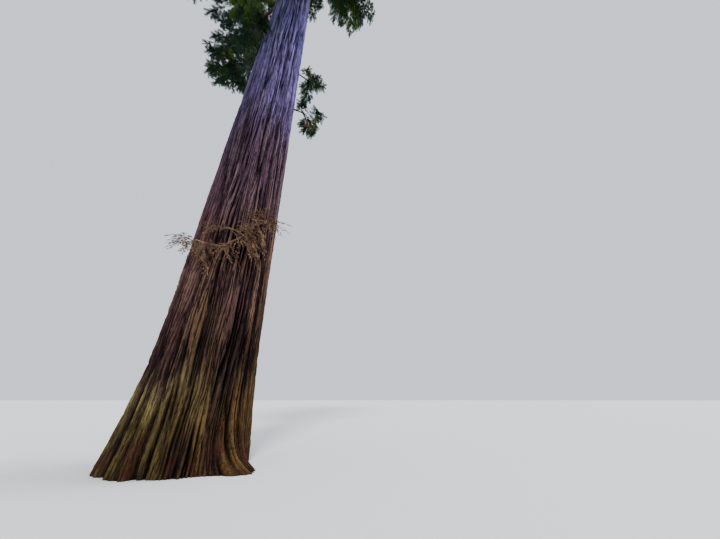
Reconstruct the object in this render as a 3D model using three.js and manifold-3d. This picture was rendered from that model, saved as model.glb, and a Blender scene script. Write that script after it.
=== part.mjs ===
// A mature coast redwood at half its real size: a flared bole, boughs, foliage masses and dead limbs.
// Millimetres, +Z up. The origin is the middle of the flat cut at ground level. The side seen in the
// photograph faces -Y, and its right is +X. Bearings are degrees from +X, turning towards +Y.

import * as THREE from "three";
import { mergeVertices } from "three/addons/utils/BufferGeometryUtils.js";
import Module from "manifold-3d";

// The whole tree
const HEIGHT = 40000;
const CLEAR = 0.3; // gap kept where one piece meets the next

// The trunk
const TRUNK = {
  top: 38700, // the leader's foliage goes on from here
  vanish: 39200, // height at which the taper would reach nothing
  radius: 730, // of the bole at the ground, without its flare
  thinning: 0.45, // extra taper towards the tip
  thinningPower: 1.5,
  flare: 90,
  flareHeight: 800,
  flarePower: 1.3,
  leanX: 300, // of the tip
  leanY: 120,
  leanPower: 1.3,
  sides: 32,
  rings: 19,
  ringPower: 1.8, // crowds the rings towards the foot
};

// Shallow flutes that wind up the bole: their number, their depth as a share of the radius, the height
// over which each winds on by a radian, and where it starts, in radians
const FLUTES = [
  { count: 7, depth: 0.014, wind: 5200, start: 0 },
  { count: 11, depth: 0.0098, wind: -3900, start: 1 },
];

// Buttress lobes round the foot: bearing, reach, half width in degrees and the height over which each fades
const LOBES = [
  { bearing: 187, reach: 150, width: 27, fade: 1000 },
  { bearing: 228, reach: 110, width: 15, fade: 640 },
  { bearing: 268, reach: 80, width: 14, fade: 560 },
  { bearing: 306, reach: 460, width: 17, fade: 150 },
  { bearing: 355, reach: 20, width: 26, fade: 1500 },
  { bearing: 36, reach: 150, width: 17, fade: 620 },
  { bearing: 86, reach: 110, width: 18, fade: 560 },
  { bearing: 136, reach: 170, width: 17, fade: 700 },
];

// The crown, divided into columns round the trunk, and each column into tiers
const CROWN = {
  start: 11200, // height of the lowest foliage
  top: 38200, // where the leader's own space begins
  tiers: 7,
  tierPower: 0.9, // makes the lower tiers taller
  turn: 120, // degrees that a column winds round from the lowest tier to the top
  reach: 3350, // of the widest tier
  narrowing: 0.82, // share of the reach that is lost towards the tip
  narrowingPower: 1.9,
  skirt: 0.14, // share of the reach that is lost at the very bottom
  skirtHeight: 0.2, // as a share of the crown's height
  fall: 0.46, // slope of the lowest boughs
  lift: 0.92, // how much that slope lessens towards the tip, where the boughs rise
  liftPower: 1.3,
  gap: 26, // kept clear on each side between neighbouring spaces
  boleGap: 80, // kept clear between the bark and the foliage
  topGap: 30, // kept clear over the trunk's flat top
  limbHeight: 0.6, // of a mass's limb in its tier, as a share of the tier's height
  limbReach: 0.82, // of the limb, as a share of its mass's reach
  leastReach: 0.86, // of a mass, as a share of its tier's reach
  mostReach: 1.06,
  sprays: 8, // the most in one mass
  tries: 1200,
};

// Each column's bearing at the bottom, the height where its foliage begins, and how far its tiers are shifted
const COLUMNS = [
  { bearing: 118, base: 12100, shift: -0.2 },
  { bearing: 190, base: 11300, shift: 0.3 },
  { bearing: 262, base: 13100, shift: 0 },
  { bearing: 334, base: 18400, shift: -0.4 },
  { bearing: 46, base: 19200, shift: 0.15 },
];

// Boughs, which end at a share of the way out, and the stems that go on from them through the foliage
const BOUGHS = 16; // the lowest masses are carried on boughs of their own
const BOUGH = {
  share: 0.4,
  root: 118,
  tip: 62,
  sides: 5,
  steps: 3,
  sink: 0.5, // of the root, as a share of the bole's radius
  rise: 0.1, // of the arc's middle, as a share of the reach
  sag: 0.25, // of the arc's middle, as a share of the whole fall
  room: 60, // kept clear round it
};

const STEM = {
  tip: 38,
  steps: 4,
  bare: 0.06, // share of the arc between a bough's end and the first spray
  bareOnTrunk: 0.3, // share of the arc below the first spray where there is no bough
  last: 0.93, // share of the arc where the last spray starts
};

// A twig's half widths, and the shares of it that are tested against the space and kept clear of other sprays
const TWIG = { root: 15, neck: 15, sides: 3, marks: [0.25, 0.5, 0.75], freeFrom: 0.15 };

const SPRAY = {
  length: 1850,
  width: 0.76, // as a share of the length
  thick: 0.03,
  middle: 0.42,
  bend: 0.25, // least cosine between the twig and the blade
  boxLength: 0.46, // half sizes of the box that keeps other sprays away
  boxWidth: 0.42,
};

// How sprays shrink where the crown is narrow: the least share, and the reach that has the full size
const SHRINK = { least: 0.12, fullReach: 2600 };

// The ranges in which a crown spray's place and direction are drawn
const DRAW = {
  margin: 0.04, // share of the tier's height that stays free at each end
  bearing: 0.85, // as a share of the space's half turn
  inner: 0.34, // distance from the trunk, as a share of the reach
  outer: 0.88,
  smallest: 0.84, // as a share of the full length
  largest: 1.12,
  stagger: 0.3, // of the twig's foot along the stem
  fan: 50, // degrees between the outermost headings
  tilt: 0.5, // upwards high in the tier and downwards low in it
  follow: 0.6, // how far a spray follows its bough's slope
  dip: 0.35,
  droop: 0.6, // the most further dip
  roll: 0.9, // radians
};

// The spray at the tip of each stem
const END = { size: 0.8, foot: 0.9, overlap: 0.08 };

// One spray's outline past its neck: distance along, and half width, as shares of its length and width
const SPRAY_TEETH = [
  [0.2, 0.42],
  [0.38, 0.31],
  [0.64, 0.5],
  [1, 0],
];

// Small sprays that grow straight from the bole below the crown
const BOLE_SPRAYS = [
  { name: "bole_spray_right_low", bearing: 352, height: 8000, reach: 620, count: 4, seed: 71 },
  { name: "bole_spray_right_high", bearing: 6, height: 9900, reach: 760, count: 5, seed: 72 },
  { name: "bole_spray_left_low", bearing: 166, height: 9200, reach: 900, count: 5, seed: 73 },
  { name: "bole_spray_left_high", bearing: 196, height: 10350, reach: 820, count: 5, seed: 74 },
];

const BOLE_STEM = {
  root: 26,
  tip: 14,
  steps: 2,
  sink: 0.8, // of the root, as a share of the bole's radius
  reach: 0.6, // of the stem, as a share of the tuft's reach
  rise: 60,
  drop: 0.12,
  bare: 0.45, // share of the stem below the first spray
  leafy: 0.5, // share of the stem that carries sprays
};
const BOLE_DRAW = {
  fan: 190, // degrees between the outermost headings at the foot of the stem
  closing: 0.6, // share of the fan that is lost at the stem's tip
  lift: 0.1, // slope of the steepest spray
  droop: 0.9,
  size: 0.5, // of the smallest spray, as a share of the reach
  more: 0.2,
  out: 0.5, // distance of a spray's middle from the stem, as a share of its length
  further: 0.1,
  roll: 1.2, // radians
};

// The foliage on the leader
const LEADER = {
  sprays: 9,
  seed: 60,
  length: 800,
  shrink: 0.4, // share of the length that is lost at the top
  droop: -0.5, // slope of the lowest sprays
  lift: 1.7, // how much steeper the highest sprays rise
  bare: 0.04, // share of the stem below the first spray
  leafy: 0.8, // share of the stem that carries sprays
  out: 0.5, // distance of a spray's middle from the stem, as a share of its length
  further: 0.2,
  sink: 5, // of the stem in the trunk's top
  lean: 30,
  short: 8, // of the stem's end under the tip
  root: 42,
  tip: 16,
  sides: 5,
};

// The dead limbs at the front: each leaves the bark, sweeps round in front of it by so many degrees, and
// carries bare twigs that fan out and hang
const DEAD_LIMBS = [
  { name: "dead_limb_left", bearing: 206, height: 3180, sweep: 36, seed: 91 },
  { name: "dead_limb_front", bearing: 240, height: 3420, sweep: 40, seed: 92 },
  { name: "dead_limb_right", bearing: 322, height: 3800, sweep: -42, seed: 93 },
];

const DEAD = {
  twigs: 6,
  sink: 0.8, // of the root, as a share of the bole's radius
  stand: 200, // of the tip off the bark
  rise: 70,
  drop: 170,
  root: 24,
  tip: 9,
  sides: 4,
  steps: 3,
  bare: 0.22, // share of the limb below the first twig
  reach: 560, // of the longest twig
  shorter: 0.5, // of the shortest, as a share of that
  fan: 30, // degrees that the twigs' ends spread round the bole
  hang: 0.75, // fall of the steepest twig, as a share of its reach
  lift: 0.3,
  away: 60, // least distance of a twig's end from the bark
  further: 210,
  twigRoot: 9,
  twigTip: 3.5,
};

const BARK = new THREE.MeshStandardMaterial({ color: 0x5a4540, roughness: 0.95, metalness: 0 });
const LIMB = new THREE.MeshStandardMaterial({ color: 0x5d4a40, roughness: 0.95, metalness: 0 });
const NEEDLES = new THREE.MeshStandardMaterial({ color: 0x2f5a24, roughness: 0.75, metalness: 0 });
const DEADWOOD = new THREE.MeshStandardMaterial({ color: 0x7a5a3c, roughness: 0.95, metalness: 0 });

const UP = new THREE.Vector3(0, 0, 1);
const SLIVER = 3; // joining takes out features smaller than this
const TOUCH = 1e-6; // boxes nearer than this meet
const WELD = 1e-3; // vertices nearer than this are one
const FLOOR_ROUNDS = 6; // in which the height on the trunk of a tier's surface is found
const radians = THREE.MathUtils.degToRad;

const wasm = await Module();
wasm.setup();

// A stream of even random numbers from 0 to 1 that a seed fixes.
function seeded(seed) {
  let state = (seed * 2654435761) >>> 0;
  const next = () => {
    state = (Math.imul(state, 1664525) + 1013904223) >>> 0;
    return state / 4294967296;
  };
  next();
  return next;
}

// A closed mesh's geometry as a solid that can be joined and cut.
function solidOf(geometry) {
  const bare = new THREE.BufferGeometry().setAttribute("position", geometry.getAttribute("position"));
  if (geometry.index) bare.setIndex(geometry.index);
  const merged = mergeVertices(bare, WELD);
  return new wasm.Manifold(
    new wasm.Mesh({
      numProp: 3,
      vertProperties: new Float32Array(merged.attributes.position.array),
      triVerts: new Uint32Array(merged.index.array),
    }),
  );
}

// A solid as a geometry for a THREE.Mesh.
function geometryOf(solid) {
  const mesh = solid.getMesh();
  const geometry = new THREE.BufferGeometry();
  geometry.setAttribute("position", new THREE.BufferAttribute(mesh.vertProperties, 3));
  geometry.setIndex(new THREE.BufferAttribute(mesh.triVerts, 1));
  geometry.computeVertexNormals();
  return geometry;
}

// The middle of the trunk at a height.
function trunkAxis(z) {
  const share = Math.min(1, z / TRUNK.top) ** TRUNK.leanPower;
  return new THREE.Vector3(TRUNK.leanX * share, TRUNK.leanY * share, z);
}

// The trunk's radius at a height and bearing: taper, flare, buttress lobes and shallow flutes.
function trunkRadius(z, bearing) {
  const share = z / TRUNK.vanish;
  const bole = TRUNK.radius * Math.sqrt(1 - share) * (1 - TRUNK.thinning * share ** TRUNK.thinningPower);
  const flare = TRUNK.flare * Math.exp(-((z / TRUNK.flareHeight) ** TRUNK.flarePower));
  let lobes = 0;
  for (const lobe of LOBES) {
    const away = THREE.MathUtils.euclideanModulo(bearing - lobe.bearing + 180, 360) - 180;
    lobes += lobe.reach * Math.exp(-((away / lobe.width) ** 2) - z / lobe.fade);
  }
  const turn = radians(bearing);
  let flutes = 0;
  for (const { count, depth, wind, start } of FLUTES) {
    flutes += depth * Math.cos(count * turn + z / wind + start);
  }
  return bole * (1 + flutes) + flare + lobes;
}

// The trunk, or a copy that is larger all round by a gap, which cuts what meets it.
function trunkGeometry(gap) {
  const geometry = new THREE.CylinderGeometry(1, 1, 1, TRUNK.sides, TRUNK.rings);
  geometry.rotateX(Math.PI / 2);
  const points = geometry.getAttribute("position");
  for (let i = 0; i < points.count; i++) {
    const x = points.getX(i);
    const y = points.getY(i);
    const level = points.getZ(i) + 0.5;
    const z = TRUNK.top * level ** TRUNK.ringPower;
    const bearing = THREE.MathUtils.radToDeg(Math.atan2(y, x));
    const spread = Math.hypot(x, y) > 0.5 ? trunkRadius(z, bearing) + gap : 0;
    const middle = trunkAxis(z);
    const turn = radians(bearing);
    const end = level > 0.999 ? gap : 0;
    points.setXYZ(i, middle.x + spread * Math.cos(turn), middle.y + spread * Math.sin(turn), z + end);
  }
  return geometry;
}

// A point given by its distance from the trunk's middle, its bearing and its height.
function around(distance, bearing, z) {
  const turn = radians(bearing);
  return trunkAxis(z).add(new THREE.Vector3(distance * Math.cos(turn), distance * Math.sin(turn), 0));
}

// How far up the crown a height is, from 0 at its lowest boughs to 1 at the tip.
function crownShare(z) {
  return THREE.MathUtils.clamp((z - CROWN.start) / (HEIGHT - CROWN.start), 0, 1);
}

// How far the foliage reaches from the trunk at a height.
function crownReach(z) {
  const share = crownShare(z);
  const skirt = 1 - CROWN.skirt * (1 - Math.min(1, share / CROWN.skirtHeight));
  return CROWN.reach * (1 - CROWN.narrowing * share ** CROWN.narrowingPower) * skirt;
}

// How steeply boughs fall away from the trunk at a height. Near the tip they rise, so it is negative.
function fall(z) {
  return CROWN.fall - CROWN.lift * crownShare(z) ** CROWN.liftPower;
}

// The bearing of a column's middle at a height.
function columnBearing(column, z) {
  return COLUMNS[column].bearing + CROWN.turn * crownShare(z);
}

// The height where one tier of a column ends and the next begins.
function tierFloor(column, tier) {
  const { base, shift } = COLUMNS[column];
  const level = tier > 0 && tier < CROWN.tiers ? tier + shift : tier;
  return base + (CROWN.top - base) * (level / CROWN.tiers) ** CROWN.tierPower;
}

// A limb that tapers along a curve, from one share of it to another.
function limbGeometry(curve, from, to, root, tip, sides, steps) {
  const geometry = new THREE.CylinderGeometry(1, 1, 1, sides, steps);
  geometry.rotateX(Math.PI / 2);
  const points = geometry.getAttribute("position");
  for (let i = 0; i < points.count; i++) {
    const level = points.getZ(i) + 0.5;
    const share = from + (to - from) * level;
    const radius = root + (tip - root) * level;
    const along = curve.getTangent(share);
    const side = new THREE.Vector3().crossVectors(along, UP).normalize();
    const over = new THREE.Vector3().crossVectors(side, along);
    const place = curve.getPoint(share);
    place.addScaledVector(side, radius * points.getX(i)).addScaledVector(over, -radius * points.getY(i));
    points.setXYZ(i, place.x, place.y, place.z);
  }
  return geometry;
}

// The arc of a bough and the stem that goes on from it, from inside the trunk to its furthest tip.
function limbCurve(bearing, height, slope, reach) {
  const start = around(trunkRadius(height, bearing) * BOUGH.sink, bearing, height);
  const middle = around(reach / 2, bearing, height + reach * (BOUGH.rise - BOUGH.sag * slope));
  const tip = around(reach, bearing, height - reach * slope);
  tip.sub(trunkAxis(tip.z)).add(trunkAxis(height));
  tip.z = height - reach * slope;
  return new THREE.QuadraticBezierCurve3(start, middle, tip);
}

// A spray on its twig: a flat toothed blade, thickest in the middle, on a three-sided twig. The rim starts at
// the neck's right corner and runs round the tip to its left corner.
function sprayOn(foot, place, along, roll, length) {
  const side = new THREE.Vector3().crossVectors(along, UP).normalize().applyAxisAngle(along, roll);
  const over = new THREE.Vector3().crossVectors(side, along);
  const at = (x, y, z) =>
    place
      .clone()
      .addScaledVector(along, (x - SPRAY.middle) * length)
      .addScaledVector(side, y * length * SPRAY.width)
      .addScaledVector(over, z);
  const narrow = TWIG.neck / (length * SPRAY.width);
  const right = SPRAY_TEETH.map(([x, y]) => at(x, y, 0));
  const left = SPRAY_TEETH.slice(0, -1).map(([x, y]) => at(x, -y, 0));
  const rim = [at(0, narrow, 0), ...right, ...left.reverse(), at(0, -narrow, 0)];
  const thick = SPRAY.thick * length;
  const neck = at(0, 0, 0);
  const way = neck.clone().sub(foot).normalize();
  const across = new THREE.Vector3().crossVectors(way, UP).normalize();
  const above = new THREE.Vector3().crossVectors(across, way);
  const root = (x, y) => {
    const corner = foot.clone().addScaledVector(across, x * TWIG.root);
    return corner.addScaledVector(above, y * TWIG.root);
  };
  return {
    blade: [...rim, at(SPRAY.middle, 0, thick), at(0, 0, -TWIG.neck)],
    root: [root(1, 0.5), root(-1, 0.5), root(0, -1)],
    twig: TWIG.marks.map((share) => foot.clone().lerp(neck, share)),
    bend: way.dot(along),
    bladeBox: {
      middle: at(0.5, 0, 0),
      axes: [along, side, over],
      half: [SPRAY.boxLength * length, SPRAY.boxWidth * length * SPRAY.width, thick],
    },
    twigBox: boxAlong(foot.clone().lerp(neck, TWIG.freeFrom), neck, TWIG.neck),
  };
}

// A box round a straight limb between two points, with a half width.
function boxAlong(from, to, half) {
  const way = to.clone().sub(from);
  const length = way.length();
  way.normalize();
  const across = new THREE.Vector3().crossVectors(way, UP).normalize();
  const above = new THREE.Vector3().crossVectors(across, way);
  return { middle: from.clone().lerp(to, 0.5), axes: [way, across, above], half: [length / 2, half, half] };
}

// Whether some plane parts two boxes.
function apart(a, b) {
  const offset = b.middle.clone().sub(a.middle);
  const axes = [...a.axes, ...b.axes];
  for (const u of a.axes) {
    for (const v of b.axes) axes.push(new THREE.Vector3().crossVectors(u, v));
  }
  const spread = (box, axis) => box.axes.reduce((sum, u, i) => sum + box.half[i] * Math.abs(axis.dot(u)), 0);
  return axes.some((axis) => Math.abs(axis.dot(offset)) > spread(a, axis) + spread(b, axis) + TOUCH);
}

// Whether a spray stays in its space, goes on from its twig, and is clear of the limb and of other sprays.
function fits(spray, space, limb, others) {
  if (spray.bend < SPRAY.bend) return false;
  if (![...spray.blade, ...spray.twig].every((point) => inSpace(point, space))) return false;
  if (limb && !(apart(spray.bladeBox, limb) && apart(spray.twigBox, limb))) return false;
  return others.every(
    (other) =>
      apart(spray.bladeBox, other.bladeBox) &&
      apart(spray.bladeBox, other.twigBox) &&
      apart(spray.twigBox, other.bladeBox) &&
      apart(spray.twigBox, other.twigBox),
  );
}

// A spray and its twig as one solid.
function spraySolid({ blade, root }) {
  const last = blade.length - 3; // the rim's last point, at the neck's left corner
  const [top, neck, right, left, foot] = [1, 2, 3, 4, 5].map((step) => last + step);
  const faces = [last, 0, top];
  for (let i = 0; i < last; i++) faces.push(i, i + 1, top, i + 1, i, neck);
  faces.push(right, 0, last, right, last, left);
  faces.push(last, neck, foot, last, foot, left);
  faces.push(neck, 0, right, neck, right, foot);
  faces.push(right, left, foot);
  const geometry = new THREE.BufferGeometry().setFromPoints([...blade, ...root]);
  geometry.setIndex(faces);
  return solidOf(geometry);
}

// A tapering twig between two points, three-sided, as a solid.
function twigSolid(from, to, root, tip) {
  const line = new THREE.LineCurve3(from, to);
  return solidOf(limbGeometry(line, 0, 1, root, tip, TWIG.sides, 1));
}

// A space round the trunk that belongs to one mass: a wedge between two bearings and two tier floors.
function wedge(column, tier) {
  const low = tierFloor(column, tier);
  const high = tierFloor(column, tier + 1);
  return { column, low, high, middle: (low + high) / 2, halfTurn: 180 / COLUMNS.length };
}

// The height on the trunk that a point's tier surface starts from, for a point out in the crown.
function tierHeight(point, distance) {
  let z = point.z;
  for (let round = 0; round < FLOOR_ROUNDS; round++) z = point.z + fall(z) * distance;
  return z;
}

// Whether a point is inside a mass's space and clear of the trunk.
function inSpace(point, space) {
  const offset = point.clone().sub(trunkAxis(point.z));
  const distance = Math.hypot(offset.x, offset.y);
  const bearing = THREE.MathUtils.radToDeg(Math.atan2(offset.y, offset.x));
  const bole = trunkRadius(Math.min(point.z, TRUNK.top), bearing) + CROWN.boleGap;
  if (point.z < TRUNK.top + CROWN.topGap && distance < bole) return false;
  const z = tierHeight(point, distance);
  if (z < space.low + CROWN.gap || z > space.high - CROWN.gap) return false;
  if (space.halfTurn >= 180) return true;
  const turned = bearing - columnBearing(space.column, z);
  const away = Math.abs(THREE.MathUtils.euclideanModulo(turned + 180, 360) - 180);
  return away < space.halfTurn && distance * Math.sin(radians(space.halfTurn - away)) > CROWN.gap;
}

// The largest body of a solid, without the scraps that joining and cutting leave.
function largest(solid) {
  return solid.decompose().reduce((most, body) => (body.volume() > most.volume() ? body : most));
}

// A list of solids joined into one, without features smaller than a sliver.
function joined(solids) {
  return largest(wasm.Manifold.union(solids).simplify(SLIVER));
}

// What is left of a solid outside the trunk and its gap.
function cutClear(solid, cutter) {
  return largest(solid.subtract(cutter));
}

// Adds a named mesh to the tree.
function add(tree, name, solid, material) {
  const mesh = new THREE.Mesh(geometryOf(solid), material);
  mesh.name = name;
  tree.add(mesh);
}

// How large the sprays of a mass are, as a share of the largest.
function spraySize(reach) {
  return Math.min(1, SHRINK.least + ((1 - SHRINK.least) * reach) / SHRINK.fullReach);
}

// One try at a spray somewhere in a crown mass, on a twig from the part of the stem that is nearer the trunk.
function crownSpray(space, curve, from, reach, random) {
  const level = DRAW.margin + (1 - 2 * DRAW.margin) * random();
  const z = space.low + (space.high - space.low) * level;
  const bearing = columnBearing(space.column, z) + (2 * random() - 1) * space.halfTurn * DRAW.bearing;
  const out = DRAW.inner + (DRAW.outer - DRAW.inner) * Math.sqrt(random());
  const place = around(out * reach, bearing, z);
  place.z = z - fall(z) * out * reach;
  const size = SPRAY.length * spraySize(reach) * (DRAW.smallest + (DRAW.largest - DRAW.smallest) * random());
  const inner = out - size / reach / 2 + DRAW.stagger * (random() - 0.5);
  const foot = curve.getPoint(THREE.MathUtils.clamp(inner, from, STEM.last));
  const outward = around(1, bearing + DRAW.fan * (random() - 0.5), 0);
  const way = place.clone().sub(foot).setZ(0).normalize();
  const along = outward.add(way).normalize();
  along.z = DRAW.tilt * (level - 0.5) - DRAW.follow * fall(z) - DRAW.dip - DRAW.droop * random();
  return sprayOn(foot, place, along.normalize(), DRAW.roll * (random() - 0.5), size);
}

// The sprays of one crown mass: those of many tries that fit.
function crownSprays(space, curve, from, reach, limb, random) {
  const sprays = endSpray(space, curve, reach, limb);
  for (let i = 0; i < CROWN.tries && sprays.length < CROWN.sprays; i++) {
    const spray = crownSpray(space, curve, from, reach, random);
    if (fits(spray, space, limb, sprays)) sprays.push(spray);
  }
  return sprays;
}

// One foliage mass: a stem on the curve from one share to its tip, with the sprays that stand on it.
function massSolid(curve, from, stemRoot, sprays) {
  const stem = solidOf(limbGeometry(curve, from, 1, stemRoot, STEM.tip, TWIG.sides, STEM.steps));
  return joined([stem, ...sprays.map(spraySolid)]);
}

// The spray that ends a mass, at the tip of its stem, if it fits.
function endSpray(space, curve, reach, limb) {
  const along = curve.getTangent(1);
  const size = SPRAY.length * END.size * spraySize(reach);
  const foot = curve.getPoint(END.foot);
  const place = curve.getPoint(1).addScaledVector(along, size * (SPRAY.middle - END.overlap));
  const spray = sprayOn(foot, place, along, 0, size);
  return fits(spray, space, limb, []) ? [spray] : [];
}

// The boughs and masses of the crown.
function addCrown(tree, cutter) {
  const places = [];
  for (let tier = 0; tier < CROWN.tiers; tier++) {
    for (let column = 0; column < COLUMNS.length; column++) places.push({ tier, column });
  }
  places.forEach(({ tier, column }, index) => {
    const number = String(index + 1).padStart(2, "0");
    const random = seeded(index + 1);
    const space = wedge(column, tier);
    const height = space.low + (space.high - space.low) * CROWN.limbHeight;
    const most = CROWN.leastReach + (CROWN.mostReach - CROWN.leastReach) * random();
    const reach = crownReach(space.middle) * most;
    const bearing = columnBearing(column, height);
    const curve = limbCurve(bearing, height, fall(space.middle), reach * CROWN.limbReach);
    if (index < BOUGHS) {
      const tip = BOUGH.share;
      const bough = solidOf(limbGeometry(curve, 0, tip, BOUGH.root, BOUGH.tip, BOUGH.sides, BOUGH.steps));
      add(tree, `bough_${number}`, cutClear(bough, cutter), LIMB);
      const start = tip + CLEAR / curve.getLength();
      const limb = boxAlong(curve.getPoint(0), curve.getPoint(tip), BOUGH.root + BOUGH.room);
      const sprays = crownSprays(space, curve, start + STEM.bare, reach, limb, random);
      add(tree, `crown_mass_${number}`, massSolid(curve, start, BOUGH.tip, sprays), NEEDLES);
    } else {
      const sprays = crownSprays(space, curve, STEM.bareOnTrunk, reach, null, random);
      const mass = massSolid(curve, 0, BOUGH.tip, sprays);
      add(tree, `crown_mass_${number}`, cutClear(mass, cutter), NEEDLES);
    }
  });
}

// The foliage on the leader, which goes on up from the trunk's flat top.
function addLeader(tree, cutter) {
  const space = { column: 0, low: CROWN.top, high: HEIGHT * 2, halfTurn: 180 };
  const random = seeded(LEADER.seed);
  const foot = trunkAxis(TRUNK.top - LEADER.sink);
  const tip = new THREE.Vector3(foot.x + LEADER.lean, foot.y, HEIGHT - LEADER.short);
  const stem = new THREE.LineCurve3(foot, tip);
  const sprays = [];
  for (let i = 0; i < CROWN.tries && sprays.length < LEADER.sprays; i++) {
    const share = random();
    const outward = around(1, 360 * random(), 0);
    const along = outward.setZ(LEADER.droop + LEADER.lift * share).normalize();
    const start = stem.getPoint(LEADER.bare + LEADER.leafy * share);
    const size = LEADER.length * (1 - LEADER.shrink * share);
    const place = start.clone().addScaledVector(along, size * (LEADER.out + LEADER.further * random()));
    const spray = sprayOn(start, place, along, random() - 0.5, size);
    const low = spray.blade.every((point) => point.z < HEIGHT);
    if (low && fits(spray, space, null, sprays)) sprays.push(spray);
  }
  const solid = solidOf(limbGeometry(stem, 0, 1, LEADER.root, LEADER.tip, LEADER.sides, 1));
  add(tree, "leader_mass", cutClear(joined([solid, ...sprays.map(spraySolid)]), cutter), NEEDLES);
}

// The small living sprays that grow straight from the bole.
function addBoleSprays(tree, cutter) {
  for (const { name, bearing, height, reach, count, seed } of BOLE_SPRAYS) {
    const random = seeded(seed);
    const radius = trunkRadius(height, bearing);
    const out = reach * BOLE_STEM.reach;
    const start = around(radius * BOLE_STEM.sink, bearing, height);
    const middle = around(radius + out / 2, bearing, height + BOLE_STEM.rise);
    const tip = around(radius + out, bearing, height - reach * BOLE_STEM.drop);
    const curve = new THREE.QuadraticBezierCurve3(start, middle, tip);
    const space = { column: 0, low: 0, high: HEIGHT, halfTurn: 180 };
    const sprays = [];
    for (let i = 0; i < CROWN.tries && sprays.length < count; i++) {
      const share = random();
      const fan = BOLE_DRAW.fan * (1 - BOLE_DRAW.closing * share);
      const outward = around(1, bearing + fan * (random() - 0.5), 0);
      const along = outward.setZ(BOLE_DRAW.lift - BOLE_DRAW.droop * random()).normalize();
      const size = reach * (BOLE_DRAW.size + BOLE_DRAW.more * random());
      const foot = curve.getPoint(BOLE_STEM.bare + BOLE_STEM.leafy * share);
      const away = BOLE_DRAW.out + BOLE_DRAW.further * random();
      const place = foot.clone().addScaledVector(along, size * away);
      const spray = sprayOn(foot, place, along, BOLE_DRAW.roll * (random() - 0.5), size);
      if (fits(spray, space, null, sprays)) sprays.push(spray);
    }
    const { root: thick, tip: thin, steps } = BOLE_STEM;
    const stem = solidOf(limbGeometry(curve, 0, 1, thick, thin, TWIG.sides, steps));
    add(tree, name, cutClear(joined([stem, ...sprays.map(spraySolid)]), cutter), NEEDLES);
  }
}

// The dead limbs at the front, each with its bare twigs. A twig starts on the limb and ends off the bark.
function addDeadLimbs(tree, cutter) {
  for (const { name, bearing, height, sweep, seed } of DEAD_LIMBS) {
    const random = seeded(seed);
    const radius = trunkRadius(height, bearing);
    const start = around(radius * DEAD.sink, bearing, height);
    const middle = around(radius + DEAD.stand, bearing + sweep / 4, height + DEAD.rise);
    const tip = around(radius + DEAD.stand, bearing + sweep, height - DEAD.drop);
    const curve = new THREE.QuadraticBezierCurve3(start, middle, tip);
    const parts = [solidOf(limbGeometry(curve, 0, 1, DEAD.root, DEAD.tip, DEAD.sides, DEAD.steps))];
    for (let i = 0; i < DEAD.twigs; i++) {
      const share = DEAD.bare + ((1 - DEAD.bare) * (i + random())) / DEAD.twigs;
      const foot = curve.getPoint(Math.min(share, STEM.last));
      const heading = bearing + sweep * share + 2 * DEAD.fan * (random() - 0.5);
      const reach = DEAD.reach * (DEAD.shorter + (1 - DEAD.shorter) * random());
      const z = foot.z + reach * (DEAD.lift - (DEAD.lift + DEAD.hang) * random());
      const end = around(trunkRadius(z, heading) + DEAD.away + DEAD.further * random(), heading, z);
      parts.push(twigSolid(foot, end, DEAD.twigRoot, DEAD.twigTip));
    }
    add(tree, name, cutClear(joined(parts), cutter), DEADWOOD);
  }
}

// The whole tree, as one group of named meshes.
function redwood() {
  const tree = new THREE.Group();
  tree.name = "redwood_tree";
  const cutter = solidOf(trunkGeometry(CLEAR));
  add(tree, "trunk", solidOf(trunkGeometry(0)), BARK);
  addCrown(tree, cutter);
  addLeader(tree, cutter);
  addBoleSprays(tree, cutter);
  addDeadLimbs(tree, cutter);
  return tree;
}

export default redwood();
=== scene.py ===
"""The looks of a mature coast redwood at half its real size: bark, boughs, twigs and feathery sprays.

Lengths are metres, +Z is up, and the side that the photograph shows faces -Y. Bearings are degrees from +X,
turning towards +Y. The crown grows by the same seeded rule as the solids and is carried on to finer twigs.
"""

import logging
import math
from collections.abc import Callable, Sequence
from dataclasses import dataclass, field
from enum import Enum
from itertools import product
from types import ModuleType

import bpy
import numpy as np
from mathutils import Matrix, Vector


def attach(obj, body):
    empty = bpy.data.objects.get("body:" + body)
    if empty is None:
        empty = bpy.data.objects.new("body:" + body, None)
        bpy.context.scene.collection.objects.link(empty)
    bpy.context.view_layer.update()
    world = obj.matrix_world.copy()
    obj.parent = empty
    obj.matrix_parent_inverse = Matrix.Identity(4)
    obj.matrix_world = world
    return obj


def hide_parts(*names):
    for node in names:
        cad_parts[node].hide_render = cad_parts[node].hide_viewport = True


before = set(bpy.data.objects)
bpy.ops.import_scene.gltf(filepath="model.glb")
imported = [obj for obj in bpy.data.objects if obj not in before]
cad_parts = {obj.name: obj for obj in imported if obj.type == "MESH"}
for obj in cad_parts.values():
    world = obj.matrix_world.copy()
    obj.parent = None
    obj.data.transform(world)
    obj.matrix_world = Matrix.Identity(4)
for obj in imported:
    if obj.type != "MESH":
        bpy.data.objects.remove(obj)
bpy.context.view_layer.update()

LOG = logging.getLogger("redwood")
Point = tuple[float, float, float]
Span = tuple[float, float]
Row = tuple[float, ...]
Array = np.ndarray
Number = float | Array
Item = bpy.types.Object
Tree = bpy.types.NodeTree
Socket = bpy.types.NodeSocket
UP: Point = (0.0, 0.0, 1.0)
# The numbers of the random streams are those of the solids' source, so that both grow the same tree.
SEED_FACTOR = 2654435761
STREAM_FACTOR = 1664525
STREAM_STEP = 1013904223
STREAM_PERIOD = 2**32
# The step that gives an arc's direction, the slack of boxes that touch, and the chords that measure an arc.
NUDGE = 1e-4
TOUCH = 1e-9
LENGTH_STEPS = 200


def plus(a: Point, b: Point, share: float = 1.0) -> Point:
    """A point moved by a share of a vector."""
    return (a[0] + b[0] * share, a[1] + b[1] * share, a[2] + b[2] * share)


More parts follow.
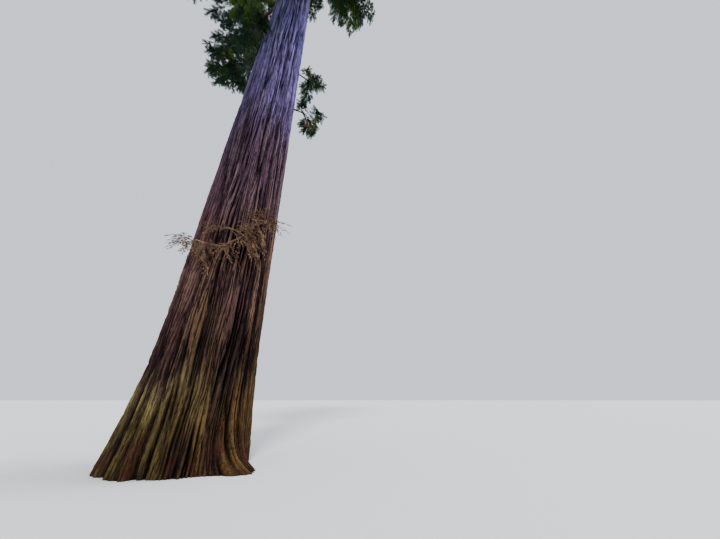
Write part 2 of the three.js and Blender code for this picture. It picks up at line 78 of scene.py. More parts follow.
def dot(a: Point, b: Point) -> float:
    """The scalar product of two vectors."""
    return a[0] * b[0] + a[1] * b[1] + a[2] * b[2]


def cross(a: Point, b: Point) -> Point:
    """The vector product of two vectors."""
    return (a[1] * b[2] - a[2] * b[1], a[2] * b[0] - a[0] * b[2], a[0] * b[1] - a[1] * b[0])


def unit(a: Point) -> Point:
    """A vector brought to length one."""
    return plus((0.0, 0.0, 0.0), a, 1.0 / (math.sqrt(dot(a, a)) or 1.0))


def towards(a: Point, b: Point, share: float) -> Point:
    """The point at a share of the way from one point to another."""
    return plus(a, plus(b, a, -1.0), share)


def rolled(a: Point, axis: Point, angle: float) -> Point:
    """A vector turned about an axis.

    Args:
        a: The vector.
        axis: The axis, of length one.
        angle: The turn in radians.

    Returns:
        The turned vector.
    """
    kept = plus((0.0, 0.0, 0.0), a, math.cos(angle))
    turned = plus(kept, cross(axis, a), math.sin(angle))
    return plus(turned, axis, dot(axis, a) * (1.0 - math.cos(angle)))


class Draws:
    """A stream of even random numbers from 0 to 1 that a seed fixes."""

    def __init__(self, seed: int) -> None:
        """Starts the stream at a seed, which is any whole number."""
        self.state = seed * SEED_FACTOR % STREAM_PERIOD
        self.next()

    def next(self) -> float:
        """The next number of the stream."""
        self.state = (self.state * STREAM_FACTOR + STREAM_STEP) % STREAM_PERIOD
        return self.state / STREAM_PERIOD

    def spread(self, half: float) -> float:
        """A number between minus and plus a half width."""
        return (2.0 * self.next() - 1.0) * half


class Noise:
    """Smooth gradient noise in space, fixed by a seed."""

    lattice: int = 256
    gain: float = 1.4

    def __init__(self, seed: int) -> None:
        """Makes the noise's lattice of slopes.

        Args:
            seed: Any whole number.
        """
        rng = np.random.default_rng(seed)
        self.order = rng.permutation(self.lattice)
        slopes = rng.normal(size=(self.lattice, 3))
        self.slopes = slopes / np.linalg.norm(slopes, axis=1, keepdims=True)

    def at(self, points: Array) -> Array:
        """The noise at points in space.

        Args:
            points: An array whose last axis holds x, y and z.

        Returns:
            About -0.8 to 0.8 at each point.
        """
        cell = np.floor(points).astype(int)
        inside = points - cell
        size = self.lattice
        ease = inside**3 * (inside * (inside * 6 - 15) + 10)
        total = np.zeros(points.shape[:-1])
        for corner in np.ndindex(2, 2, 2):
            x, y, z = (cell[..., i] + corner[i] for i in range(3))
            spot = self.order[(self.order[(self.order[x % size] + y) % size] + z) % size]
            rise = np.sum(self.slopes[spot] * (inside - corner), axis=-1)
            weight = np.prod(np.where(np.array(corner) == 1, ease, 1 - ease), axis=-1)
            total += rise * weight
        return total * self.gain


@dataclass(frozen=True)
class Lobe:
    """A buttress of the foot: its bearing, reach, half width in degrees and the height where it fades."""

    bearing: float
    reach: float
    width: float
    fade: float


@dataclass(frozen=True)
class Flute:
    """A set of shallow flutes: their number, depth, the height of a radian's winding, and their start."""

    count: int
    depth: float
    wind: float
    start: float


@dataclass(frozen=True)
class TrunkForm:
    """The trunk's taper, lean, flare, buttresses and flutes."""

    top: float = 38.7
    vanish: float = 39.2
    radius: float = 0.73
    thinning: float = 0.45
    thinning_power: float = 1.5
    flare: float = 0.09
    flare_height: float = 0.8
    flare_power: float = 1.3
    lean_x: float = 0.3
    lean_y: float = 0.12
    lean_power: float = 1.3
    flutes: tuple[Flute, ...] = (Flute(7, 0.014, 5.2, 0.0), Flute(11, 0.0098, -3.9, 1.0))
    lobes: tuple[Lobe, ...] = (
        Lobe(187, 0.15, 27, 1.0),
        Lobe(228, 0.11, 15, 0.64),
        Lobe(268, 0.08, 14, 0.56),
        Lobe(306, 0.46, 17, 0.15),
        Lobe(355, 0.02, 26, 1.5),
        Lobe(36, 0.15, 17, 0.62),
        Lobe(86, 0.11, 18, 0.56),
        Lobe(136, 0.17, 17, 0.7),
    )

    def axis(self, z: float) -> Point:
        """The middle of the trunk at a height."""
        share = min(1.0, z / self.top) ** self.lean_power
        return (self.lean_x * share, self.lean_y * share, z)

    def spread(self, z: Number, bearing: Number, maths: ModuleType = math) -> Number:
        """The trunk's radius.

        Args:
            z: Height above the ground.
            bearing: Degrees round the trunk.
            maths: The module whose functions suit the arguments, math or numpy.

        Returns:
            The distance from the trunk's middle to its surface.
        """
        share = z / self.vanish
        bole = self.radius * maths.sqrt(1 - share) * (1 - self.thinning * share**self.thinning_power)
        flare = self.flare * maths.exp(-((z / self.flare_height) ** self.flare_power))
        lobes = 0.0
        for lobe in self.lobes:
            away = (bearing - lobe.bearing + 180) % 360 - 180
            lobes = lobes + lobe.reach * maths.exp(-((away / lobe.width) ** 2) - z / lobe.fade)
        turn = bearing * (math.pi / 180)
        flutes = 0.0
        for flute in self.flutes:
            flutes = flutes + flute.depth * maths.cos(flute.count * turn + z / flute.wind + flute.start)
        return bole * (1 + flutes) + flare + lobes

    def around(self, distance: float, bearing: float, z: float) -> Point:
        """A point given by its distance from the trunk's middle, its bearing and its height."""
        turn = math.radians(bearing)
        return plus(self.axis(z), (distance * math.cos(turn), distance * math.sin(turn), 0.0))


@dataclass(frozen=True)
class Column:
    """A column of the crown: its bearing at the bottom, the height where it begins and its tiers' shift."""

    bearing: float
    base: float
    shift: float


@dataclass(frozen=True)
class Space:
    """The room round the trunk that belongs to one mass: a wedge between two drooping floors."""

    column: int
    low: float
    high: float
    half_turn: float


@dataclass(frozen=True)
class CrownForm:
    """How the crown is divided into the spaces of its masses, and how far each reaches."""

    trunk: TrunkForm = TrunkForm()
    height: float = 40.0
    start: float = 11.2
    top: float = 38.2
    tiers: int = 7
    tier_power: float = 0.9
    turn: float = 120.0
    reach: float = 3.35
    narrowing: float = 0.82
    narrowing_power: float = 1.9
    skirt: float = 0.14
    skirt_height: float = 0.2
    low_fall: float = 0.46
    lift: float = 0.92
    lift_power: float = 1.3
    gap: float = 0.026
    bole_gap: float = 0.08
    top_gap: float = 0.03
    limb_height: float = 0.6
    limb_reach: float = 0.82
    least_reach: float = 0.86
    most_reach: float = 1.06
    sprays: int = 8
    tries: int = 1200
    floor_rounds: int = 6
    columns: tuple[Column, ...] = (
        Column(118, 12.1, -0.2),
        Column(190, 11.3, 0.3),
        Column(262, 13.1, 0.0),
        Column(334, 18.4, -0.4),
        Column(46, 19.2, 0.15),
    )

    def share(self, z: float) -> float:
        """How far up the crown a height is, from 0 to 1."""
        return min(1.0, max(0.0, (z - self.start) / (self.height - self.start)))

    def reach_at(self, z: float) -> float:
        """How far the foliage reaches at a height.

        Args:
            z: The height.

        Returns:
            The reach from the trunk's middle.
        """
        share = self.share(z)
        skirt = 1 - self.skirt * (1 - min(1.0, share / self.skirt_height))
        return self.reach * (1 - self.narrowing * share**self.narrowing_power) * skirt

    def fall(self, z: float) -> float:
        """How steeply boughs fall away from the trunk at a height."""
        return self.low_fall - self.lift * self.share(z) ** self.lift_power

    def bearing(self, column: int, z: float) -> float:
        """The bearing of a column's middle at a height."""
        return self.columns[column].bearing + self.turn * self.share(z)

    def floor(self, column: int, tier: int) -> float:
        """The height where one tier of a column ends and the next begins.

        Args:
            column: The column.
            tier: The upper tier.

        Returns:
            The height at the trunk's middle.
        """
        base = self.columns[column].base
        level = tier + self.columns[column].shift if 0 < tier < self.tiers else tier
        return base + (self.top - base) * (level / self.tiers) ** self.tier_power

    def space(self, column: int, tier: int) -> Space:
        """The space of the mass in one tier of a column."""
        half_turn = 180 / len(self.columns)
        return Space(column, self.floor(column, tier), self.floor(column, tier + 1), half_turn)

    def holds(self, point: Point, space: Space) -> bool:
        """Whether a point is inside a space and clear of the trunk.

        Args:
            point: The point.
            space: The space.

        Returns:
            True where it is.
        """
        x, y, _ = plus(point, self.trunk.axis(point[2]), -1.0)
        distance = math.hypot(x, y)
        bearing = math.degrees(math.atan2(y, x))
        bole = self.trunk.spread(min(point[2], self.trunk.top), bearing) + self.bole_gap
        if point[2] < self.trunk.top + self.top_gap and distance < bole:
            return False
        z = point[2]
        for _ in range(self.floor_rounds):
            z = point[2] + self.fall(z) * distance
        if z < space.low + self.gap or z > space.high - self.gap:
            return False
        if space.half_turn >= 180:
            return True
        away = abs((bearing - self.bearing(space.column, z) + 180) % 360 - 180)
        if away >= space.half_turn:
            return False
        return distance * math.sin(math.radians(space.half_turn - away)) > self.gap


@dataclass(frozen=True)
class Limb:
    """The arc of a bough and of the stem that goes on from it."""

    start: Point
    middle: Point
    tip: Point

    def point(self, share: float) -> Point:
        """The point at a share of the arc, from 0 at the start to 1 at the tip."""
        first = plus((0.0, 0.0, 0.0), self.start, (1 - share) * (1 - share))
        return plus(plus(first, self.middle, 2 * (1 - share) * share), self.tip, share * share)

    def tangent(self, share: float) -> Point:
        """The arc's direction at a share of it."""
        before, after = max(0.0, share - NUDGE), min(1.0, share + NUDGE)
        return unit(plus(self.point(after), self.point(before), -1.0))

    def length(self) -> float:
        """The arc's length."""
        points = [self.point(i / LENGTH_STEPS) for i in range(LENGTH_STEPS + 1)]
        return sum(math.dist(a, b) for a, b in zip(points, points[1:]))


@dataclass(frozen=True)
class Box:
    """A box given by its middle, its three axes and its half sizes along them."""

    middle: Point
    axes: tuple[Point, Point, Point]
    half: Point

    @classmethod
    def along(cls, start: Point, end: Point, half: float) -> "Box":
        """A box round a straight limb.

        Args:
            start: The limb's start.
            end: Its end.
            half: The box's half width.

        Returns:
            The box.
        """
        way = plus(end, start, -1.0)
        length = math.sqrt(dot(way, way))
        way = unit(way)
        across = unit(cross(way, UP))
        return cls(towards(start, end, 0.5), (way, across, cross(across, way)), (length / 2, half, half))

    def extent(self, axis: Point) -> float:
        """How far the box reaches from its middle along an axis."""
        return sum(h * abs(dot(axis, u)) for h, u in zip(self.half, self.axes))

    def apart(self, other: "Box") -> bool:
        """Whether some plane parts this box from another.

        Args:
            other: The other box.

        Returns:
            True where one does.
        """
        offset = plus(other.middle, self.middle, -1.0)
        axes = [*self.axes, *other.axes]
        axes.extend(cross(u, v) for u in self.axes for v in other.axes)
        return any(abs(dot(a, offset)) > self.extent(a) + other.extent(a) + TOUCH for a in axes)


@dataclass(frozen=True)
class SprayForm:
    """The sizes that all sprays share, as in the solids."""

    length: float = 1.85
    width: float = 0.76
    thick: float = 0.03
    middle: float = 0.42
    bend: float = 0.25
    neck: float = 0.015
    box_length: float = 0.46
    box_width: float = 0.42
    twig_marks: Row = (0.25, 0.5, 0.75)
    twig_free: float = 0.15
    knee: float = 0.4
    foot: Span = (0.0, 0.04)
    teeth: tuple[Span, ...] = ((0.2, 0.42), (0.38, 0.31), (0.64, 0.5), (1.0, 0.0))

    def half_width(self, x: float) -> float:
        """Half the spray's width at a share of its length, as a share of its full width."""
        corners = (self.foot, *self.teeth)
        return float(np.interp(x, [c[0] for c in corners], [c[1] for c in corners]))


FORM = SprayForm()


class Spray:
    """One spray of foliage on its twig."""

    def __init__(self, foot: Point, place: Point, along: Point, roll: float, length: float) -> None:
        """Sets the spray's blade and twig.

        Args:
            foot: Where the twig leaves its stem.
            place: The blade's middle.
            along: The blade's direction.
            roll: The blade's turn about that direction, in radians.
            length: The blade's length.
        """
        self.foot, self.place, self.along, self.length = foot, place, along, length
        self.side = rolled(unit(cross(along, UP)), along, roll)
        self.over = cross(self.side, along)
        self.neck = self.at(0.0, 0.0)
        way = unit(plus(self.neck, foot, -1.0))
        self.bend = dot(way, along)
        half = (FORM.box_length * length, FORM.box_width * length * FORM.width, FORM.thick * length)
        self.blade_box = Box(self.at(0.5, 0.0), (along, self.side, self.over), half)
        self.twig_box = Box.along(towards(foot, self.neck, FORM.twig_free), self.neck, FORM.neck)

    def at(self, x: float, y: float, z: float = 0.0) -> Point:
        """A point of the blade, from shares of its length and width and a height over it."""
        point = plus(self.place, self.along, (x - FORM.middle) * self.length)
        return plus(plus(point, self.side, y * self.length * FORM.width), self.over, z)

    def twig(self, share: float) -> Point:
        """The point at a share of the twig, which bends from its foot into the blade's direction."""
        knee = plus(self.neck, self.along, -FORM.knee * math.dist(self.foot, self.neck))
        return towards(towards(self.foot, knee, share), towards(knee, self.neck, share), share)

    def corners(self) -> list[Point]:
        """The blade's corners and points of its twig.

        Returns:
            The points that have to stay in the mass's space.
        """
        narrow = FORM.neck / (self.length * FORM.width)
        right = [self.at(x, y) for x, y in FORM.teeth]
        left = [self.at(x, -y) for x, y in FORM.teeth[:-1]]
        rim = [self.at(0.0, narrow), *right, *left, self.at(0.0, -narrow)]
        apex = [self.at(FORM.middle, 0.0, FORM.thick * self.length), self.at(0.0, 0.0, -FORM.neck)]
        twig = [towards(self.foot, self.neck, share) for share in FORM.twig_marks]
        return [*rim, *apex, *twig]

    def top(self) -> float:
        """The height of the spray's highest corner."""
        return max(point[2] for point in self.corners())

    def fits(self, crown: CrownForm, space: Space, limb: Box | None, others: list["Spray"]) -> bool:
        """Whether the spray stays in its space and is clear of its bough and of the other sprays.

        Args:
            crown: The crown's form.
            space: The mass's space.
            limb: A box round its bough, if it has one.
            others: The mass's other sprays.

        Returns:
            True where it does.
        """
        if self.bend < FORM.bend:
            return False
        if not all(crown.holds(point, space) for point in self.corners()):
            return False
        if limb and not (self.blade_box.apart(limb) and self.twig_box.apart(limb)):
            return False
        taken = [box for other in others for box in (other.blade_box, other.twig_box)]
        return all(self.blade_box.apart(box) and self.twig_box.apart(box) for box in taken)


@dataclass
class Mass:
    """One foliage mass as it grows: its limb, where on that it starts, its stem's radius and its sprays."""

    node: str
    limb: Limb
    start: float
    root: float
    sprays: list[Spray]
    bough: str | None = None
    fine: list[Spray] = field(default_factory=list)


@dataclass(frozen=True)
class BoughForm:
    """The sizes of the boughs and of the stems that go on from them."""

    count: int = 16
    share: float = 0.4
    root: float = 0.118
    tip: float = 0.062
    sink: float = 0.5
    rise: float = 0.1
    sag: float = 0.25
    room: float = 0.06
    clear: float = 0.0003
    stem_bare: float = 0.06
    stem_bare_on_trunk: float = 0.3
    stem_last: float = 0.93
    end_size: float = 0.8
    end_foot: float = 0.9
    end_overlap: float = 0.08


@dataclass(frozen=True)
class DrawForm:
    """The ranges in which a crown spray's place and direction are drawn."""

    margin: float = 0.04
    bearing: float = 0.85
    inner: float = 0.34
    outer: float = 0.88
    smallest: float = 0.84
    largest: float = 1.12
    stagger: float = 0.3
    fan: float = 50.0
    tilt: float = 0.5
    follow: float = 0.6
    dip: float = 0.35
    droop: float = 0.6
    roll: float = 0.9
    shrunk: float = 0.12
    full_reach: float = 2.6


@dataclass(frozen=True)
class LeaderForm:
    """The sizes of the leader's foliage."""

    sprays: int = 9
    seed: int = 60
    length: float = 0.8
    shrink: float = 0.4
    droop: float = -0.5
    lift: float = 1.7
    bare: float = 0.04
    leafy: float = 0.8
    out: float = 0.5
    further: float = 0.2
    sink: float = 0.005
    lean: float = 0.03
    short: float = 0.008
    root: float = 0.042
    shoots: int = 22
    shoots_low: float = 37.3
    shoots_high: float = 38.69
    shoots_turn: float = 137.5
    shoots_sway: float = 20.0
    shoots_lift: float = 0.1
    shoots_fall: float = 0.9
    shoots_length: float = 0.95
    shoots_seed: int = 61


@dataclass(frozen=True)
class Tuft:
    """A small tuft that grows straight from the bole."""

    node: str
    bearing: float
    height: float
    reach: float
    count: int
    seed: int


@dataclass(frozen=True)
class TuftForm:
    """The sizes that all tufts share."""

    root: float = 0.026
    sink: float = 0.8
    stem: float = 0.6
    rise: float = 0.06
    drop: float = 0.12
    bare: float = 0.45
    leafy: float = 0.5
    fan: float = 190.0
    closing: float = 0.6
    lift: float = 0.1
    droop: float = 0.9
    size: float = 0.5
    more: float = 0.2
    out: float = 0.5
    further: float = 0.1
    roll: float = 1.2
    tufts: tuple[Tuft, ...] = (
        Tuft("bole_spray_right_low", 352, 8.0, 0.62, 4, 71),
        Tuft("bole_spray_right_high", 6, 9.9, 0.76, 5, 72),
        Tuft("bole_spray_left_low", 166, 9.2, 0.9, 5, 73),
        Tuft("bole_spray_left_high", 196, 10.35, 0.82, 5, 74),
    )


@dataclass(frozen=True)
class FineForm:
    """How the finer sprays fill out a mass between its large ones."""

    seed: int = 500
    share: float = 2.7
    more_above: float = 3.4
    tries: int = 60
    from_twig: float = 0.3
    twig_first: float = 0.35
    twig_last: float = 0.95
    twig_step: float = 0.52
    twig_start: float = 0.15
    twig_tries: int = 6
    first: float = 0.05
    last: float = 0.7
    least_turn: float = 0.45
    more_turn: float = 0.7
    tilt: float = 0.5
    dip: float = 0.1
    smallest: float = 0.36
    larger: float = 0.22
    roll: float = 0.7
    away: float = 0.12


@dataclass(frozen=True)
class Growth:
    """The rule by which the whole tree grows, written as in the solids and carried on to finer sprays."""

    trunk: TrunkForm = TrunkForm()
    crown: CrownForm = CrownForm()
    bough: BoughForm = BoughForm()
    draw: DrawForm = DrawForm()
    leader_form: LeaderForm = LeaderForm()
    tuft_form: TuftForm = TuftForm()
    fine: FineForm = FineForm()

    def arc(self, bearing: float, height: float, slope: float, reach: float) -> Limb:
        """The arc of a limb from inside the trunk to its furthest tip.

        Args:
            bearing: Its bearing.
            height: The height where it starts.
            slope: How steeply it falls.
            reach: How far it reaches from the trunk's middle.

        Returns:
            The limb.
        """
        start = self.trunk.around(self.trunk.spread(height, bearing) * self.bough.sink, bearing, height)
        middle_z = height + reach * (self.bough.rise - self.bough.sag * slope)
        middle = self.trunk.around(reach / 2, bearing, middle_z)
        turn = math.radians(bearing)
        tip = plus(self.trunk.axis(height), (reach * math.cos(turn), reach * math.sin(turn), 0.0))
        return Limb(start, middle, (tip[0], tip[1], height - reach * slope))

    def spray_size(self, reach: float) -> float:
        """How large the sprays of a mass are, as a share of the largest."""
        return min(1.0, self.draw.shrunk + (1 - self.draw.shrunk) * reach / self.draw.full_reach)

    def one_try(self, space: Space, limb: Limb, first: float, reach: float, draws: Draws) -> Spray:
        """One try at a spray somewhere in a crown mass, on a twig from its stem.

        Args:
            space: The mass's space.
            limb: The arc of its bough and stem.
            first: The share of the arc where the first spray may start.
            reach: The mass's reach from the trunk.
            draws: The random stream.

        Returns:
            The spray, which may not fit.
        """
        crown, draw = self.crown, self.draw
        level = draw.margin + (1 - 2 * draw.margin) * draws.next()
        z = space.low + (space.high - space.low) * level
        bearing = crown.bearing(space.column, z) + (2 * draws.next() - 1) * space.half_turn * draw.bearing
        out = draw.inner + (draw.outer - draw.inner) * math.sqrt(draws.next())
        place = self.trunk.around(out * reach, bearing, z)
        place = (place[0], place[1], z - crown.fall(z) * out * reach)
        span = draw.smallest + (draw.largest - draw.smallest) * draws.next()
        size = FORM.length * self.spray_size(reach) * span
        inner = out - size / reach / 2 + draw.stagger * (draws.next() - 0.5)
        foot = limb.point(min(self.bough.stem_last, max(first, inner)))
        outward = self.trunk.around(1.0, bearing + draw.fan * (draws.next() - 0.5), 0.0)
        way = unit((place[0] - foot[0], place[1] - foot[1], 0.0))
        flat = unit(plus(outward, way))
        fall = draw.tilt * (level - 0.5) - draw.follow * crown.fall(z) - draw.dip - draw.droop * draws.next()
        return Spray(foot, place, unit((flat[0], flat[1], fall)), draw.roll * (draws.next() - 0.5), size)

    def last_spray(self, space: Space, limb: Limb, reach: float, bough: Box | None) -> list[Spray]:
        """The spray that ends a mass at the tip of its stem.

        Args:
            space: The mass's space.
            limb: The arc of its bough and stem.
            reach: The mass's reach from the trunk.
            bough: A box round its bough, if it has one.

        Returns:
            The spray in a list, which is empty where it doesn't fit.
        """
        along = limb.tangent(1.0)
        size = FORM.length * self.bough.end_size * self.spray_size(reach)
        place = plus(limb.point(1.0), along, size * (FORM.middle - self.bough.end_overlap))
        spray = Spray(limb.point(self.bough.end_foot), place, along, 0.0, size)
        return [spray] if spray.fits(self.crown, space, bough, []) else []

    def crown_masses(self) -> list[Mass]:
        """Grows the masses of the crown, tier by tier."""
        places = product(range(self.crown.tiers), range(len(self.crown.columns)))
        return [self.crown_mass(index, column, tier) for index, (tier, column) in enumerate(places)]

    def crown_mass(self, index: int, column: int, tier: int) -> Mass:
        """One mass of the crown, on its bough where it has one.

        Args:
            index: The mass's place in the order of growth.
            column: Its column.
            tier: Its tier in the column.

        Returns:
            The mass with its sprays.
        """
        crown, form = self.crown, self.bough
        draws = Draws(index + 1)
        space = crown.space(column, tier)
        height = space.low + (space.high - space.low) * crown.limb_height
        middle = (space.low + space.high) / 2
        most = crown.least_reach + (crown.most_reach - crown.least_reach) * draws.next()
        reach = crown.reach_at(middle) * most
        limb = self.arc(crown.bearing(column, height), height, crown.fall(middle), reach * crown.limb_reach)
        number = f"{index + 1:02d}"
        bough, box, start, first = None, None, 0.0, form.stem_bare_on_trunk
        if index < form.count:
            bough = f"bough_{number}"
            start = form.share + form.clear / limb.length()
            first = start + form.stem_bare
            box = Box.along(limb.point(0.0), limb.point(form.share), form.root + form.room)
        sprays = self.last_spray(space, limb, reach, box)
        for _ in range(crown.tries):
            if len(sprays) >= crown.sprays:
                break
            spray = self.one_try(space, limb, first, reach, draws)
            if spray.fits(crown, space, box, sprays):
                sprays.append(spray)
        mass = Mass(f"crown_mass_{number}", limb, start, form.tip, sprays, bough)
        self.fill(mass, space, Draws(self.fine.seed + index))
        return mass

    def leader(self) -> Mass:
        """Grows the foliage on the leader, which goes on up from the trunk's flat top.

        Returns:
            The mass.
        """
        crown, form = self.crown, self.leader_form
        space = Space(0, crown.top, crown.height * 2, 180)
        draws = Draws(form.seed)
        foot = self.trunk.axis(self.trunk.top - form.sink)
        tip = (foot[0] + form.lean, foot[1], crown.height - form.short)
        sprays: list[Spray] = []
        for _ in range(crown.tries):
            if len(sprays) >= form.sprays:
                break
            share = draws.next()
            outward = self.trunk.around(1.0, 360 * draws.next(), 0.0)
            along = unit((outward[0], outward[1], form.droop + form.lift * share))
            start = towards(foot, tip, form.bare + form.leafy * share)
            size = form.length * (1 - form.shrink * share)
            place = plus(start, along, size * (form.out + form.further * draws.next()))
            spray = Spray(start, place, along, draws.next() - 0.5, size)
            if spray.top() < crown.height and spray.fits(crown, space, None, sprays):
                sprays.append(spray)
        mass = Mass("leader_mass", Limb(foot, towards(foot, tip, 0.5), tip), 0.0, form.root, sprays)
        self.fill(mass, space, Draws(self.fine.seed + form.seed))
        mass.fine.extend(self.bole_shoots())
        return mass

    def bole_shoots(self) -> list[Spray]:
        """Grows short fine sprays on the thin stretch of bole below the leader.

        Returns:
            The sprays.
        """
        form = self.leader_form
        draws = Draws(form.shoots_seed)
        sprays = []
        for i in range(form.shoots):
            share = (i + draws.next()) / form.shoots
            z = form.shoots_low + (form.shoots_high - form.shoots_low) * share
            bearing = form.shoots_turn * i + draws.spread(form.shoots_sway)
            outward = self.trunk.around(1.0, bearing, 0.0)
            foot = self.trunk.around(self.trunk.spread(z, bearing), bearing, z)
            along = unit((outward[0], outward[1], form.shoots_lift - form.shoots_fall * draws.next()))
            size = form.shoots_length * (1 - form.shrink * draws.next())
            place = plus(foot, along, size * (FORM.middle + self.fine.away))
            sprays.append(Spray(foot, place, along, draws.spread(self.fine.roll), size))
        return sprays

    def tuft(self, tuft: Tuft) -> Mass:
        """Grows a tuft of small sprays straight from the bole.

        Args:
            tuft: Its place and its size.

        Returns:
            The mass.
        """
        form = self.tuft_form
        draws = Draws(tuft.seed)
        bearing, height = tuft.bearing, tuft.height
        radius = self.trunk.spread(height, bearing)
        out = tuft.reach * form.stem
        start = self.trunk.around(radius * form.sink, bearing, height)
        middle = self.trunk.around(radius + out / 2, bearing, height + form.rise)
        tip = self.trunk.around(radius + out, bearing, height - tuft.reach * form.drop)
        limb = Limb(start, middle, tip)
        space = Space(0, 0.0, self.crown.height, 180)
        sprays: list[Spray] = []
        for _ in range(self.crown.tries):
            if len(sprays) >= tuft.count:
                break
            share = draws.next()
            fan = form.fan * (1 - form.closing * share)
            outward = self.trunk.around(1.0, bearing + fan * (draws.next() - 0.5), 0.0)
            along = unit((outward[0], outward[1], form.lift - form.droop * draws.next()))
            size = tuft.reach * (form.size + form.more * draws.next())
            foot = limb.point(form.bare + form.leafy * share)
            place = plus(foot, along, size * (form.out + form.further * draws.next()))
            spray = Spray(foot, place, along, form.roll * (draws.next() - 0.5), size)
            if spray.fits(self.crown, space, None, sprays):
                sprays.append(spray)
        mass = Mass(tuft.node, limb, 0.0, form.root, sprays)
        self.fill(mass, space, Draws(self.fine.seed + tuft.seed))
        return mass

    def fine_spray(self, parent: Spray, foot: Point, draws: Draws) -> Spray:
        """A finer spray that branches to one side of a large one.

        Args:
            parent: The large spray.
            foot: Where on it the finer one starts.
            draws: The random stream.

        Returns:
            The finer spray, which may leave the mass's space.
        """
        fine = self.fine
        side = 1 if draws.next() < 0.5 else -1
        turn = side * (fine.least_turn + fine.more_turn * draws.next())
        along = rolled(parent.along, parent.over, turn)
        along = unit(plus(along, UP, draws.spread(fine.tilt) - fine.dip))
        size = parent.length * (fine.smallest + fine.larger * draws.next())
        place = plus(foot, along, size * (FORM.middle + fine.away))
        return Spray(foot, place, along, draws.spread(fine.roll), size)

    def keeps(self, spray: Spray, mass: Mass, space: Space, top: float) -> bool:
        """Adds a finer spray to its mass if it stays in the mass's space.

        Args:
            spray: The finer spray.
            mass: The mass.
            space: The mass's space.
            top: The height that it may reach.

        Returns:
            Whether it was added.
        """
        inside = spray.top() <= top and all(self.crown.holds(point, space) for point in spray.corners())
        if inside:
            mass.fine.append(spray)
        return inside

    def fill(self, mass: Mass, space: Space, draws: Draws) -> None:
        """Fills out a mass with finer sprays that branch from its large ones and keep to its space.

        Args:
            mass: The mass with its large sprays.
            space: Its space.
            draws: The random stream.
        """
        fine, large = self.fine, mass.sprays
        wanted = round((fine.share + fine.more_above * self.crown.share(space.low) ** 2) * len(large))
        top = max((spray.top() for spray in large), default=0.0)
        for _ in range(fine.tries * wanted):
            if len(mass.fine) >= wanted:
                break
            parent = large[int(draws.next() * len(large))]
            if draws.next() < fine.from_twig:
                foot = parent.twig(fine.twig_first + (fine.twig_last - fine.twig_first) * draws.next())
            else:
                foot = parent.at(fine.first + (fine.last - fine.first) * draws.next(), 0.0)
            self.keeps(self.fine_spray(parent, foot, draws), mass, space, top)
        for parent in large:
            marks = int(math.dist(parent.foot, parent.neck) / fine.twig_step)
            for mark in range(marks):
                foot = parent.twig(fine.twig_start + (1 - fine.twig_start) * (mark + draws.next()) / marks)
                for _ in range(fine.twig_tries):
                    if self.keeps(self.fine_spray(parent, foot, draws), mass, space, top):
                        break

    def masses(self) -> list[Mass]:
        """Every foliage mass of the tree."""
        return [*self.crown_masses(), self.leader(), *(self.tuft(tuft) for tuft in self.tuft_form.tufts)]


class Graph:
    """Adds nodes to one node tree and links them."""

    # A Mix node has a socket of one name for each kind of value, so its colours are found by number.
    colour_inputs: tuple[int, int] = (6, 7)
    colour_output: int = 2

    def __init__(self, tree: Tree) -> None:
        """Keeps the tree that is built."""
        self.tree = tree

    def add(self, kind: str, **settings: object) -> bpy.types.Node:
        """Adds a node.

        Args:
            kind: Its type.
            settings: Its settings.

        Returns:
            The node.
        """
        node = self.tree.nodes.new(kind)
        for name, value in settings.items():
            setattr(node, name, value)
        return node

    def feed(self, node: bpy.types.Node, **values: object) -> bpy.types.Node:
        """Links or sets a node's inputs.

        Args:
            node: The node.
            values: What each input takes, by its name with _ for a space, or by _ and its number.

        Returns:
            The node.
        """
        for name, value in values.items():
            socket = node.inputs[int(name[1:])] if name[1:].isdigit() else node.inputs[name.replace("_", " ")]
            if isinstance(value, Socket):
                self.tree.links.new(value, socket)
            else:
                socket.default_value = value
        return node

    def math(
        self, operation: str, a: object, b: object = 0.0, c: object = 0.0, clamp: bool = False
    ) -> Socket:
        """The result of a sum on two or three numbers."""
        node = self.add("ShaderNodeMath", operation=operation, use_clamp=clamp)
        return self.feed(node, _0=a, _1=b, _2=c).outputs[0]

    def ease(self, value: object, span: Span) -> Socket:
        """A smooth step from 0 at a span's first number to 1 at its second."""
        node = self.add("ShaderNodeMapRange", interpolation_type="SMOOTHSTEP", clamp=True)
        return self.feed(node, Value=value, From_Min=span[0], From_Max=span[1]).outputs[0]

    def ramp(self, value: object, stops: tuple[tuple[float, Point], ...]) -> Socket:
        """Reads a colour from a row of stops.

        Args:
            value: Where to read it, from 0 to 1.
            stops: Each stop's place and colour.

        Returns:
            The colour.
        """
        node = self.add("ShaderNodeValToRGB")
        ends = node.color_ramp.elements
        while len(ends) < len(stops):
            ends.new(0.5)
        for end, (place, colour) in zip(ends, stops):
            end.position = place
            end.color = (*colour, 1.0)
        return self.feed(node, Fac=value).outputs["Color"]

    def mix(self, share: object, a: object, b: object, blend: str = "MIX") -> Socket:
        """Mixes two colours.

        Args:
            share: How much the second colour counts.
            a: The first colour.
            b: The second colour.
            blend: The way they mix.

        Returns:
            The colour.
        """
        node = self.add("ShaderNodeMix", data_type="RGBA", blend_type=blend)
        self.feed(node, _0=share)
        for index, colour in zip(self.colour_inputs, (a, b)):
            value = colour if isinstance(colour, Socket) else (*colour, 1.0)
            self.feed(node, **{f"_{index}": value})
        return node.outputs[self.colour_output]


def linked(name: str, data: bpy.types.ID) -> Item:
    """Puts a new object in the scene.

    Args:
        name: The object's name.
        data: Its mesh, light or camera.

    Returns:
        The object.
    """
    item = bpy.data.objects.new(name, data)
    bpy.context.scene.collection.objects.link(item)
    return item


